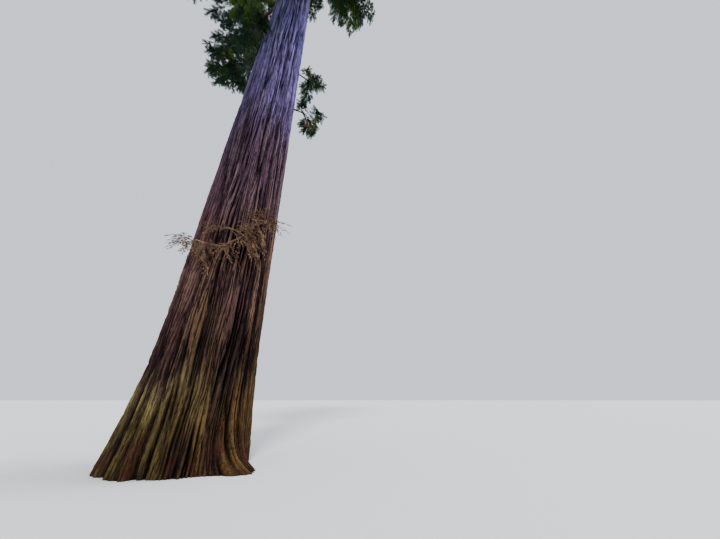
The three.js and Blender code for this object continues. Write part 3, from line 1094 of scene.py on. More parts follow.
def new_material(name: str, specular: float) -> tuple[bpy.types.Material, Graph, bpy.types.Node]:
    """A new material with its graph and its shader.

    Args:
        name: The material's name.
        specular: The shader's specular level.

    Returns:
        The material, a graph on its tree and its Principled shader.
    """
    material = bpy.data.materials.new(name)
    material.use_nodes = True
    shader = material.node_tree.nodes["Principled BSDF"]
    shader.inputs["Specular IOR Level"].default_value = specular
    return material, Graph(material.node_tree), shader


@dataclass(frozen=True)
class Grain:
    """A noise on a piece: how much of the height counts, its scale, its detail and its roughness."""

    squeeze: float
    scale: float
    detail: float = 2.0
    rough: float = 0.5

    def laid(self, graph: Graph) -> Socket:
        """Lays the noise on the object's own coordinates.

        Args:
            graph: The material's graph.

        Returns:
            The noise, from 0 to 1.
        """
        coords = graph.add("ShaderNodeTexCoord").outputs["Object"]
        place = graph.feed(graph.add("ShaderNodeMapping"), Vector=coords, Scale=(1.0, 1.0, self.squeeze))
        node = graph.feed(graph.add("ShaderNodeTexNoise"), Vector=place.outputs[0], Scale=self.scale)
        return graph.feed(node, Detail=self.detail, Roughness=self.rough).outputs[0]


@dataclass(frozen=True)
class Tone:
    """The colours of bark at one height, from the bottom of a furrow, painted dark as shade, to the crest of
    a ridge, partly painted highlight.
    """

    height: float
    furrow: Point
    wall: Point
    face: Point
    crest: Point
    wall_at: float = 0.34
    face_at: float = 0.66

    def stops(self) -> tuple[tuple[float, Point], ...]:
        """The colours at their shares of the ridge's height."""
        return ((0.0, self.furrow), (self.wall_at, self.wall), (self.face_at, self.face), (1.0, self.crest))


@dataclass(frozen=True)
class PaintedSideLight:
    """Painted light and shade on one side of the trunk, standing in for how light falls there.

    It has the side's bearing, the height where it is full and the one where it is gone, the colour that it
    multiplies the bark's by, and its strength.
    """

    bearing: float
    full: float
    gone: float
    tinge: Point
    strength: float = 0.9


@dataclass(frozen=True)
class Stain:
    """A tinge in patches on the bark. Its patches and heights are each a span from none to full."""

    tinge: Point
    patches: Span
    heights: Span
    strength: float


@dataclass(frozen=True)
class BarkFinish:
    """Deeply furrowed fibrous bark with painted shade and light, read from the mesh's ridge attribute, warm
    below and cool above.
    """

    name: str = "furrowed_bark"
    # From near-black furrows, which are painted shade, to crests that are partly painted highlight; from 5.5
    # to 15.5 m a painted blue skylight sheen, greyer violet above.
    tones: tuple[Tone, ...] = (
        Tone(0.2, (0.003, 0.002, 0.001), (0.012, 0.007, 0.004), (0.037, 0.025, 0.011), (0.095, 0.073, 0.031)),
        Tone(0.9, (0.004, 0.003, 0.002), (0.019, 0.012, 0.007), (0.053, 0.037, 0.019), (0.115, 0.088, 0.044)),
        Tone(1.5, (0.003, 0.001, 0.002), (0.009, 0.004, 0.004), (0.019, 0.009, 0.009), (0.074, 0.043, 0.026)),
        Tone(2.8, (0.005, 0.003, 0.004), (0.022, 0.011, 0.012), (0.058, 0.031, 0.033), (0.2, 0.122, 0.088)),
        Tone(5.5, (0.01, 0.005, 0.008), (0.034, 0.018, 0.024), (0.075, 0.043, 0.06), (0.16, 0.1, 0.135)),
        Tone(8.2, (0.018, 0.013, 0.029), (0.042, 0.031, 0.063), (0.088, 0.068, 0.145), (0.172, 0.146, 0.28)),
        Tone(11.0, (0.02, 0.017, 0.036), (0.044, 0.037, 0.076), (0.09, 0.08, 0.168), (0.182, 0.167, 0.32)),
        Tone(15.5, (0.012, 0.009, 0.016), (0.036, 0.028, 0.047), (0.082, 0.067, 0.108), (0.178, 0.15, 0.225)),
        Tone(24.0, (0.012, 0.008, 0.012), (0.035, 0.025, 0.034), (0.08, 0.06, 0.075), (0.17, 0.135, 0.16)),
    )
    # Painted light and shade by side: each row makes one side of the bark lighter or darker than its own
    # colour.
    sides: tuple[PaintedSideLight, ...] = (
        # Painted light on the left side below 2.5 m, with a slight olive moss cast.
        PaintedSideLight(215, 1.5, 2.5, (2.0, 2.2, 1.95)),
        # Painted shade on the left foot below 0.85 m.
        PaintedSideLight(215, 0.45, 0.85, (0.5, 0.48, 0.46)),
        # Painted warm light on the right foot below 1.2 m.
        PaintedSideLight(335, 0.5, 1.2, (1.65, 1.45, 1.05)),
        # Painted pale violet skylight sheen on the right side above 4.5 m.
        PaintedSideLight(325, 8.0, 4.5, (1.5, 1.45, 1.6)),
        # Painted shade on the right side below 2.8 m.
        PaintedSideLight(300, 1.1, 2.8, (0.74, 0.64, 0.7)),
        # Painted shade on the left side above 4 m.
        PaintedSideLight(200, 7.0, 4.0, (0.42, 0.42, 0.52)),
        # Takes some of the painted blue skylight off the back above 4 m, making it warmer.
        PaintedSideLight(90, 8.0, 4.0, (1.1, 0.95, 0.55), 0.95),
    )
    stains: tuple[Stain, ...] = (
        Stain((1.3, 1.25, 0.95), (0.5, 0.8), (7.0, 2.0), 0.7),
        Stain((0.5, 0.38, 0.5), (0.5, 0.15), (13.0, 1.5), 0.9),
    )
    flecks: Grain = Grain(0.17, 46.0, 4.0, 0.75)
    fibres: Grain = Grain(0.03, 96.0, 4.0, 0.6)
    bands: Grain = Grain(0.12, 4.6, 3.0)
    drift: Grain = Grain(0.3, 3.2, 3.0)
    fleck_share: float = 0.45
    fibre_share: float = 0.55
    streak_gain: Span = (2.2, -1.34)
    ridge_gain: float = 1.3
    plate_gain: float = 0.4
    band_gain: Span = (2.0, -0.7)
    drift_gain: float = 2.2
    drift_half: float = 1.1
    radius: float = 0.8
    side_edge: Span = (0.1, 1.0)
    foot: Stain = Stain((0.05, 0.014, 0.01), (0.44, 0.6), (0.6, 0.1), 0.7)
    foot_grain: Grain = Grain(1.0, 5.1, 5.0)
    foot_ridges: Span = (0.1, 0.5)
    bump: float = 0.9
    fibre: float = 0.012
    rough: float = 0.98
    rubbed: float = 0.16
    specular: float = 0.25

    def material(self) -> bpy.types.Material:
        """Builds the material.

        Returns:
            The material, which reads the mesh's ridge and plate attributes and the object's own coordinates.
        """
        material, graph, shader = new_material(self.name, self.specular)
        coords = graph.add("ShaderNodeTexCoord").outputs["Object"]
        place = graph.feed(graph.add("ShaderNodeSeparateXYZ"), Vector=coords).outputs
        lowered = graph.math("SUBTRACT", place["Z"], self.drift_half)
        height = graph.math("MULTIPLY_ADD", self.drift.laid(graph), self.drift_gain, lowered)
        flecks = graph.math("MULTIPLY", self.flecks.laid(graph), self.fleck_share)
        streak = graph.math("ADD", flecks, graph.math("MULTIPLY", self.fibres.laid(graph), self.fibre_share))
        grain = graph.math("MULTIPLY_ADD", streak, *self.streak_gain)
        ridge = graph.add("ShaderNodeAttribute", attribute_name="ridge").outputs["Fac"]
        furrow_to_crest = graph.math("MULTIPLY_ADD", ridge, self.ridge_gain, grain, True)
        low = graph.ease(place["Z"], self.foot.heights)
        low = graph.math("MULTIPLY", low, graph.ease(furrow_to_crest, self.foot_ridges))
        red = graph.math("MULTIPLY", low, graph.ease(self.foot_grain.laid(graph), self.foot.patches))
        red = graph.math("MULTIPLY", red, self.foot.strength)
        colour = graph.mix(red, self.shade(graph, furrow_to_crest, place, height), self.foot.tinge)
        bump = graph.add("ShaderNodeBump")
        graph.feed(bump, Strength=self.bump, Distance=self.fibre, Height=streak)
        rough = graph.math("SUBTRACT", self.rough, graph.math("MULTIPLY", furrow_to_crest, self.rubbed))
        graph.feed(shader, Base_Color=colour, Roughness=rough, Normal=bump.outputs[0])
        return material

    def shade(self, graph: Graph, furrow_to_crest: Socket, place: object, height: Socket) -> Socket:
        """Colours the ridges and furrows height by height, stains the plates and paints light and shade on
        the trunk's sides.

        Args:
            graph: The material's graph.
            furrow_to_crest: How far up from furrow to crest a place is.
            place: The object's own coordinates, apart.
            height: The height, with some drift.

        Returns:
            The colour.
        """
        # The ramps paint shade into the furrows and partly painted highlight onto the crests.
        colour = graph.ramp(furrow_to_crest, self.tones[0].stops())
        for below, tone in zip(self.tones, self.tones[1:]):
            share = graph.ease(height, (below.height, tone.height))
            colour = graph.mix(share, colour, graph.ramp(furrow_to_crest, tone.stops()))
        plate = graph.add("ShaderNodeAttribute", attribute_name="plate").outputs["Fac"]
        bands = graph.math("MULTIPLY_ADD", self.bands.laid(graph), *self.band_gain)
        bands = graph.math("MULTIPLY_ADD", plate, self.plate_gain, bands)
        for stain in self.stains:
            level = graph.ease(height, stain.heights)
            share = graph.math("MULTIPLY", graph.ease(bands, stain.patches), level)
            share = graph.math("MULTIPLY", share, stain.strength)
            colour = graph.mix(share, colour, stain.tinge, "MULTIPLY")
        # Painted light and shade: each side's colour is made lighter or darker by bearing and height.
        for side in self.sides:
            turn = math.radians(side.bearing)
            across = graph.math("MULTIPLY", place["X"], math.cos(turn) / self.radius)
            along = graph.math("MULTIPLY_ADD", place["Y"], math.sin(turn) / self.radius, across)
            level = graph.ease(height, (side.gone, side.full))
            share = graph.math("MULTIPLY", graph.ease(along, self.side_edge), level)
            share = graph.math("MULTIPLY", share, side.strength)
            colour = graph.mix(share, colour, side.tinge, "MULTIPLY")
        return colour


@dataclass(frozen=True)
class TwigFinish:
    """The rough or fibrous bark of limbs and twigs."""

    name: str
    dark: Point
    light: Point
    grain: float
    relief: float
    flake_detail: float = 4.0
    patch_size: float = 0.11
    flake_share: float = 0.7
    patch_share: float = 0.3
    edge: Span = (0.32, 0.66)
    bump: float = 0.6
    rough: float = 0.93
    specular: float = 0.25

    def material(self) -> bpy.types.Material:
        """Builds the material.

        Returns:
            The material.
        """
        material, graph, shader = new_material(self.name, self.specular)
        flake = Grain(1.0, self.grain, self.flake_detail).laid(graph)
        patch = graph.math("MULTIPLY", Grain(1.0, self.grain * self.patch_size).laid(graph), self.patch_share)
        tone = graph.math("ADD", graph.math("MULTIPLY", flake, self.flake_share), patch)
        colour = graph.mix(graph.ease(tone, self.edge), self.dark, self.light)
        bump = graph.feed(graph.add("ShaderNodeBump"), Strength=self.bump, Distance=self.relief, Height=flake)
        graph.feed(shader, Base_Color=colour, Roughness=self.rough, Normal=bump.outputs[0])
        return material


class Tint(Enum):
    """The base colours that are dealt out to the sprays."""

    DEEP = (0.009, 0.028, 0.009)
    LEAF = (0.022, 0.058, 0.012)
    TEAL = (0.012, 0.042, 0.022)
    # Yellow-green of fresh shoots, partly a painted sunlit tone, dealt out at random.
    FRESH = (0.06, 0.11, 0.013)
    DRY = (0.17, 0.1, 0.05)
    GOLD = (0.3, 0.19, 0.11)


@dataclass(frozen=True)
class NeedleFinish:
    """Soft matt needles in one tint."""

    tint: Tint
    mottle: Grain = Grain(1.0, 19.0)
    dark: float = 0.6
    light: float = 1.5
    edge: Span = (0.3, 0.7)
    rough: float = 0.62
    specular: float = 0.35

    def material(self) -> bpy.types.Material:
        """Builds the material.

        Returns:
            The material.
        """
        material, graph, shader = new_material(f"needles_{self.tint.name.lower()}", self.specular)
        dark = tuple(self.dark * c for c in self.tint.value)
        light = tuple(self.light * c for c in self.tint.value)
        colour = graph.mix(graph.ease(self.mottle.laid(graph), self.edge), dark, light)
        graph.feed(shader, Base_Color=colour, Roughness=self.rough)
        return material


def grown(source: Item, tree: Tree, name: str, **inputs: object) -> Item:
    """Runs a geometry tree on a source and keeps its result as a plain piece.

    Args:
        source: The object that carries the points or paths, which is removed.
        tree: The geometry tree.
        name: The piece's name.
        inputs: Values for the tree's named inputs.

    Returns:
        The piece.
    """
    modifier = source.modifiers.new("growth", "NODES")
    modifier.node_group = tree
    sockets = {item.name: item.identifier for item in tree.interface.items_tree if item.in_out == "INPUT"}
    for key, value in inputs.items():
        modifier[sockets[key]] = value
    graph = bpy.context.evaluated_depsgraph_get()
    mesh = bpy.data.meshes.new_from_object(source.evaluated_get(graph))
    mesh.name = name
    bpy.data.objects.remove(source)
    return linked(name, mesh)


class GeometryTree(Graph):
    """A geometry tree with named inputs, which ends in real faces with one material."""

    def __init__(self, name: str, inputs: dict[str, tuple[str, object]]) -> None:
        """Makes the tree's sockets.

        Args:
            name: The tree's name.
            inputs: Each input's socket type and default.
        """
        super().__init__(bpy.data.node_groups.new(name, "GeometryNodeTree"))
        sockets = self.tree.interface
        sockets.new_socket("Geometry", in_out="OUTPUT", socket_type="NodeSocketGeometry")
        sockets.new_socket("Geometry", in_out="INPUT", socket_type="NodeSocketGeometry")
        for label, (kind, default) in inputs.items():
            socket = sockets.new_socket(label, in_out="INPUT", socket_type=kind)
            if default is not None:
                socket.default_value = default
        self.given = self.add("NodeGroupInput").outputs

    def named(self, name: str, kind: str = "FLOAT") -> Socket:
        """An attribute of the carrying points, read by its name."""
        node = self.add("GeometryNodeInputNamedAttribute", data_type=kind)
        return self.feed(node, Name=name).outputs[0]

    def end(self, shape: bpy.types.Node, cover: str) -> Tree:
        """Makes the shape real faces with a material, as the tree's result.

        Args:
            shape: The node that gives the shape.
            cover: The input that holds the material.

        Returns:
            The tree.
        """
        real = self.feed(self.add("GeometryNodeRealizeInstances"), Geometry=shape.outputs[0])
        dressed = self.add("GeometryNodeSetMaterial")
        self.feed(dressed, Geometry=real.outputs[0], Material=self.given[cover])
        self.feed(self.add("NodeGroupOutput"), Geometry=dressed.outputs[0])
        return self.tree


@dataclass(frozen=True)
class TubeForm:
    """How limbs are rounded: the sides of a ring, and the relief, the grain and the detail of their bark."""

    sides: int = 5
    relief: float = 0.0
    grain: float = 9.0
    detail: float = 3.0

    def tree(self) -> Tree:
        """A geometry tree that makes tubes along a mesh's edges, as thick as its thickness attribute says.

        Returns:
            The tree, with inputs Sides, Relief, Grain and Bark.
        """
        sizes = {
            "Sides": ("NodeSocketInt", self.sides),
            "Relief": ("NodeSocketFloat", self.relief),
            "Grain": ("NodeSocketFloat", self.grain),
            "Bark": ("NodeSocketMaterial", None),
        }
        graph = GeometryTree("tubes_on_paths", sizes)
        paths = graph.feed(graph.add("GeometryNodeMeshToCurve"), Mesh=graph.given["Geometry"])
        ring = graph.add("GeometryNodeCurvePrimitiveCircle", mode="RADIUS")
        graph.feed(ring, Resolution=graph.given["Sides"], Radius=1.0)
        radius = graph.add("GeometryNodeSetCurveRadius")
        graph.feed(radius, Curve=paths.outputs[0], Radius=graph.named("thickness"))
        tube = graph.add("GeometryNodeCurveToMesh")
        graph.feed(tube, Curve=radius.outputs[0], Profile_Curve=ring.outputs[0], Fill_Caps=True)
        if "Scale" in tube.inputs:
            graph.feed(tube, Scale=graph.add("GeometryNodeInputRadius").outputs[0])
        bumps = graph.feed(graph.add("ShaderNodeTexNoise"), Scale=graph.given["Grain"], Detail=self.detail)
        lift = graph.math("MULTIPLY", graph.math("SUBTRACT", bumps.outputs[0], 0.5), graph.given["Relief"])
        push = graph.add("ShaderNodeVectorMath", operation="SCALE")
        graph.feed(push, _0=graph.add("GeometryNodeInputNormal").outputs[0], Scale=lift)
        moved = graph.add("GeometryNodeSetPosition")
        graph.feed(moved, Geometry=tube.outputs[0], Offset=push.outputs[0])
        return graph.end(moved, "Bark")


@dataclass
class Paths:
    """Paths that twigs follow, each a row of points with a radius at each point."""

    points: list[Point] = field(default_factory=list)
    edges: list[tuple[int, int]] = field(default_factory=list)
    radii: list[float] = field(default_factory=list)

    def add(self, points: list[Point], radii: Sequence[float]) -> None:
        """Adds one path.

        Args:
            points: Its points.
            radii: The radius at each point.
        """
        first = len(self.points)
        self.points.extend(points)
        self.radii.extend(radii)
        self.edges.extend((first + i, first + i + 1) for i in range(len(points) - 1))

    def grow(self, tree: Tree, name: str, form: TubeForm, finish: TwigFinish) -> Item:
        """Makes one piece of tubes along the paths.

        Args:
            tree: The geometry tree that makes tubes.
            name: The piece's name.
            form: The tubes' form.
            finish: The tubes' bark.

        Returns:
            The piece.
        """
        bark = finish.material()
        mesh = bpy.data.meshes.new(f"{name}_paths")
        mesh.from_pydata(self.points, self.edges, [])
        mesh.attributes.new("thickness", "FLOAT", "POINT").data.foreach_set("value", self.radii)
        source = linked(f"{name}_paths", mesh)
        return grown(source, tree, name, Sides=form.sides, Relief=form.relief, Grain=form.grain, Bark=bark)


@dataclass(frozen=True)
class Feather:
    """A small feather of needles: its place, its direction, the way that its face looks and its length."""

    place: Point
    way: Point
    face: Point
    size: float


def turns(feathers: list[Feather]) -> Array:
    """Works out how feathers are turned.

    Args:
        feathers: The feathers.

    Returns:
        A row of Euler angles about x, y and z for each feather.
    """
    x = np.array([feather.way for feather in feathers])
    x /= np.linalg.norm(x, axis=1, keepdims=True)
    y = np.cross(np.array([feather.face for feather in feathers]), x)
    y /= np.linalg.norm(y, axis=1, keepdims=True)
    z = np.cross(x, y)
    about_x = np.arctan2(y[:, 2], z[:, 2])
    about_y = np.arctan2(-x[:, 2], np.hypot(y[:, 2], z[:, 2]))
    about_z = np.arctan2(x[:, 1], x[:, 0])
    return np.stack([about_x, about_y, about_z], axis=1)


@dataclass(frozen=True)
class FeatherForm:
    """A flat feather of needles, one long: its axis, its pairs of needle groups and the tuft at its tip."""

    pairs: int = 8
    first: float = 0.05
    step: float = 0.108
    base: float = 0.1
    reach: float = 0.28
    sweep: float = 0.17
    droop: float = 0.16
    lift: float = 0.03
    axis_half: float = 0.014
    axis_end: float = 0.97
    swelling: Span = (0.22, 0.66)
    swelling_power: float = 0.8
    tuft_start: float = 0.84
    tuft_half: float = 0.03

    def build(self) -> Item:
        """Makes the feather.

        Returns:
            The feather as an unlinked object for the geometry tree.
        """
        half, end = self.axis_half, self.axis_end
        points: list[Point] = [(0.0, -half, 0.0), (0.0, half, 0.0), (end, 0.0, self.sag(end))]
        faces = [(0, 2, 1)]
        low, more = self.swelling
        for i in range(self.pairs):
            x = self.first + i * self.step
            swelling = math.sin(math.pi * (low + more * (i + 0.5) / self.pairs))
            reach = self.reach * swelling**self.swelling_power
            for side in (-1, 1):
                count = len(points)
                tip = x + self.base / 2 + self.sweep * reach / self.reach
                points.append((x, 0.0, self.sag(x)))
                points.append((x + self.base, 0.0, self.sag(x + self.base)))
                points.append((tip, side * reach, self.sag(tip) + self.lift * side * (-1) ** i))
                faces.append((count, count + 1, count + 2) if side > 0 else (count + 1, count, count + 2))
        count = len(points)
        start, half = self.tuft_start, self.tuft_half
        points.extend([(start, -half, self.sag(start)), (start, half, self.sag(start))])
        points.append((1.0, 0.0, self.sag(1.0)))
        faces.append((count, count + 2, count + 1))
        mesh = bpy.data.meshes.new("feather")
        mesh.from_pydata(points, [], faces)
        return bpy.data.objects.new("feather", mesh)

    def sag(self, x: float) -> float:
        """How far the feather hangs down at a share of its length."""
        return -self.droop * x * x


def dress(piece: Item, slot: str, nodes: list[str]) -> None:
    """Says what a finished piece rides on and stands for, and reports it.

    Args:
        piece: The finished piece.
        slot: The record's material slot; not used.
        nodes: The solids that it stands for.
    """
    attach(piece, "root")
    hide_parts(*nodes)
    piece.data.calc_loop_triangles()
    LOG.info("%s: %d triangles", piece.name, len(piece.data.loop_triangles))


@dataclass(frozen=True)
class Needles:
    """The pieces of needles: what their names begin with, their slot, and the solids that they stand for."""

    name: str
    slot: str
    nodes: list[str]
    most_faces: int = 190000
    uneven: float = 0.12
    seed: int = 5

    def tree(self) -> Tree:
        """A geometry tree that sets a feather on each point, turned and sized by the point's attributes.

        Returns:
            The tree, with inputs Feather, Size, Uneven, Seed and Needles.
        """
        sizes = {
            "Feather": ("NodeSocketObject", None),
            "Size": ("NodeSocketFloat", 1.0),
            "Uneven": ("NodeSocketFloat", self.uneven),
            "Seed": ("NodeSocketInt", self.seed),
            "Needles": ("NodeSocketMaterial", None),
        }
        graph = GeometryTree("feathers_on_points", sizes)
        feather = graph.feed(graph.add("GeometryNodeObjectInfo"), Object=graph.given["Feather"])
        turn = graph.named("turn", "FLOAT_VECTOR")
        rotation = graph.feed(graph.add("FunctionNodeEulerToRotation"), Euler=turn)
        low = graph.math("SUBTRACT", 1.0, graph.given["Uneven"])
        high = graph.math("ADD", 1.0, graph.given["Uneven"])
        chance = graph.add("FunctionNodeRandomValue", data_type="FLOAT")
        graph.feed(chance, _2=low, _3=high, Seed=graph.given["Seed"])
        scale = graph.math("MULTIPLY", graph.named("size"), chance.outputs[1])
        scale = graph.math("MULTIPLY", scale, graph.given["Size"])
        placed = graph.add("GeometryNodeInstanceOnPoints")
        graph.feed(placed, Points=graph.given["Geometry"], Instance=feather.outputs["Geometry"])
        graph.feed(placed, Rotation=rotation.outputs[0], Scale=scale)
        return graph.end(placed, "Needles")

    def points(self, name: str, feathers: list[Feather]) -> Item:
        """The feathers' places as points that carry their turns and sizes.

        Args:
            name: The object's name.
            feathers: The feathers.

        Returns:
            The object.
        """
        mesh = bpy.data.meshes.new(name)
        mesh.from_pydata([feather.place for feather in feathers], [], [])
        turned, sizes = turns(feathers).ravel(), [feather.size for feather in feathers]
        mesh.attributes.new("turn", "FLOAT_VECTOR", "POINT").data.foreach_set("vector", turned)
        mesh.attributes.new("size", "FLOAT", "POINT").data.foreach_set("value", sizes)
        return linked(name, mesh)

    def build(self, tufts: dict[Tint, list[Feather]]) -> None:
        """Makes and dresses the pieces of each tint, none of them too large.

        Args:
            tufts: The feathers of each tint.
        """
        feather = FeatherForm().build()
        tree = self.tree()
        most = self.most_faces // len(feather.data.polygons)
        for tint, feathers in tufts.items():
            total = len(feathers)
            if not total:
                continue
            finish = NeedleFinish(tint).material()
            sizes = {"Feather": feather, "Size": 1.0, "Uneven": self.uneven, "Needles": finish}
            parts = math.ceil(total / most)
            for part in range(parts):
                name = f"{self.name}_{tint.name.lower()}_{part + 1}"
                some = feathers[part * total // parts : (part + 1) * total // parts]
                points = self.points(f"{name}_points", some)
                piece = grown(points, tree, name, Seed=self.seed + part, **sizes)
                dress(piece, self.slot, self.nodes)
        bpy.data.objects.remove(feather)


@dataclass(frozen=True)
class Section:
    """A length of trunk that is one piece of bark: its ends, its rows' height and the faces in a row."""

    low: float
    high: float
    row: float
    around: int


@dataclass(frozen=True)
class BarkNoise:
    """Noise on the trunk's surface: its seed, and how much of it goes round in a radian and up in a metre."""

    seed: int
    around: float
    upward: float

    def noise(self, turn: Array, z: Array) -> Array:
        """The noise at bearings in radians and at heights."""
        places = [np.cos(turn) * self.around, np.sin(turn) * self.around, z * self.upward]
        return Noise(self.seed).at(np.stack(places, axis=-1))


@dataclass(frozen=True)
class Ridges(BarkNoise):
    """Bark ridges between furrows of even width, which wander, part and join up the trunk.

    The furrows are the noise's zero lines. They have a width and a steepness of their walls.
    """

    furrow: float
    power: float
    step: float = 0.05
    soft: float = 0.35

    def at(self, turn: Array, z: Array) -> Array:
        """How far up from furrow to ridge a place is.

        Args:
            turn: Bearings in radians.
            z: Heights.

        Returns:
            0 in a furrow to 1 on a ridge.
        """
        here = self.noise(turn, z)
        slope = np.abs(self.noise(turn + self.step / self.around, z) - here) / self.step
        away = np.abs(here) / (slope + self.soft)
        return 1 - np.exp(-((away / self.furrow) ** self.power))


@dataclass(frozen=True)
class TrunkBark:
    """The trunk's bark, with its long ridges that part and join, and its furrows."""

    form: TrunkForm = TrunkForm()
    sections: tuple[Section, ...] = (
        Section(0.0, 3.0, 0.03, 960),
        Section(3.0, 6.9, 0.04, 960),
        Section(6.9, 13.0, 0.065, 960),
        Section(13.0, 24.0, 0.11, 600),
        Section(24.0, 38.7, 0.15, 440),
    )
    plates: Ridges = Ridges(12, 2.8, 0.22, 0.11, 1.4)
    main: Ridges = Ridges(11, 9.0, 0.3, 0.115, 1.5)
    strand: Ridges = Ridges(13, 19.0, 1.3, 0.16, 1.2)
    thread: Ridges = Ridges(14, 44.0, 6.0, 0.24, 1.0)
    swaying: BarkNoise = BarkNoise(3, 1.1, 0.35)
    wandering: BarkNoise = BarkNoise(5, 5.0, 1.7)
    breaking: BarkNoise = BarkNoise(4, 5.0, 1.7)
    sway: float = 0.1
    wander: float = 0.03
    broken: float = 1.5
    furrowed: float = 0.62
    least_furrowed: float = 0.2
    plate_low: float = 0.35
    plate_more: float = 0.65
    raised_share: float = 0.5
    strand_share: float = 0.32
    thread_share: float = 0.18
    parted: float = 6.0
    deep: float = 0.065
    fine: float = 0.024
    hair: float = 0.011
    stand: float = 0.01
    thinnest: float = 0.15
    tip_gap: float = 0.01
    cap_share: float = 0.5

    def relief(self, bearing: Array, z: Array) -> tuple[Array, Array, Array]:
        """The bark's relief.

        Args:
            bearing: Bearings in degrees.
            z: Heights.

        Returns:
            The height of the surface over the plain trunk, the same as a share from furrow to crest, and
            which plate a place is on, from 0 to 1.
        """
        turn = np.radians(bearing)
        whole = np.clip(self.furrowed + self.broken * self.breaking.noise(turn, z), self.least_furrowed, 1.0)
        swung = turn + self.sway * self.swaying.noise(turn, z)
        turn = swung + self.wander * self.wandering.noise(turn, z)
        plates, main, strand, thread = (
            ridges.at(turn, z) for ridges in (self.plates, self.main, self.strand, self.thread)
        )
        main = 1 - whole * (1 - main)
        raised = main * (self.plate_low + self.plate_more * plates)
        share = self.raised_share * raised + self.strand_share * main * strand + self.thread_share * thread
        fade = np.clip(self.form.spread(z, bearing, np) / self.form.radius, self.thinnest, 1.0)
        lift = self.deep * (raised - 1) + self.fine * (main * strand - 1)
        lift = lift + self.hair * (thread - 1) + self.stand
        plate = 0.5 + 0.5 * np.tanh(self.parted * self.plates.noise(turn, z))
        return lift * fade, np.clip(share, 0, 1), plate

    def surface(self, z: Array, around: int) -> tuple[Array, Array, Array]:
        """The bark's points and ridge shares on rings.

        Args:
            z: The rings' heights.
            around: The number of points in a ring.

        Returns:
            The points, ring by ring, each one's share from furrow to crest, and its plate.
        """
        bearing = np.arange(around) * (360 / around)
        levels, bearings = np.meshgrid(z, bearing, indexing="ij")
        lift, share, plate = self.relief(bearings, levels)
        spread = self.form.spread(levels, bearings, np) + lift
        turn = np.radians(bearings)
        bend = np.minimum(1.0, levels / self.form.top) ** self.form.lean_power
        x = self.form.lean_x * bend + spread * np.cos(turn)
        y = self.form.lean_y * bend + spread * np.sin(turn)
        return np.stack([x, y, levels], axis=-1), share, plate

    def section(self, section: Section, index: int, material: bpy.types.Material) -> Item:
        """One closed piece of bark.

        Args:
            section: The length of trunk.
            index: Its number, from the ground.
            material: The bark's material.

        Returns:
            The piece.
        """
        around = section.around
        rows = round((section.high - section.low) / section.row)
        z = np.linspace(section.low, section.high, rows + 1)
        step = z[1] - z[0]
        # One more row past each end gives the end rows normals that follow the bark beyond them.
        padded = np.concatenate([[z[0] - step], z, [z[-1] + step]])
        padded = np.clip(padded, 0.0, self.form.vanish - self.tip_gap)
        points, share, plate = self.surface(padded, around)
        up = points[2:] - points[:-2]
        across = np.roll(points, -1, axis=1) - np.roll(points, 1, axis=1)
        normals = np.cross(across[1:-1], up)
        normals /= np.linalg.norm(normals, axis=-1, keepdims=True)
        points = points[1:-1]
        ids = np.arange((rows + 1) * around).reshape(rows + 1, around)
        near = np.roll(ids, -1, axis=1)
        quads = np.stack([ids[:-1], near[:-1], near[1:], ids[1:]], axis=-1).reshape(-1, 4)
        # A fan of triangles round a middle point closes each end.
        middle = [points[0].mean(axis=0), points[-1].mean(axis=0)]
        last = (rows + 1) * around
        below = np.stack([near[0], ids[0], np.full(around, last)], axis=-1)
        above = np.stack([ids[-1], near[-1], np.full(around, last + 1)], axis=-1)
        vertices = np.concatenate([points.reshape(-1, 3), middle])
        mesh = bpy.data.meshes.new(f"trunk_bark_{index}")
        mesh.vertices.add(len(vertices))
        mesh.vertices.foreach_set("co", vertices.ravel())
        corners = np.concatenate([quads.ravel(), below.ravel(), above.ravel()])
        mesh.loops.add(len(corners))
        mesh.loops.foreach_set("vertex_index", corners)
        sides = np.concatenate([np.full(len(quads), 4), np.full(2 * around, 3)])
        mesh.polygons.add(len(sides))
        mesh.polygons.foreach_set("loop_start", np.concatenate([[0], np.cumsum(sides)[:-1]]))
        mesh.polygons.foreach_set("use_smooth", np.ones(len(sides), dtype=bool))
        mesh.update(calc_edges=True)
        for kind, values in (("ridge", share), ("plate", plate)):
            values = np.concatenate([values[1:-1].ravel(), np.full(2, self.cap_share)])
            mesh.attributes.new(kind, "FLOAT", "POINT").data.foreach_set("value", values)
        facing = np.concatenate([normals.reshape(-1, 3), [[0, 0, -1], [0, 0, 1]]])
        mesh.normals_split_custom_set_from_vertices(facing.tolist())
        mesh.materials.append(material)
        return linked(f"trunk_bark_{index}", mesh)

    def build(self) -> None:
        """Makes and dresses every length of the trunk's bark."""
        material = BarkFinish().material()
        for index, section in enumerate(self.sections, 1):
            dress(self.section(section, index, material), "bark", ["trunk"])


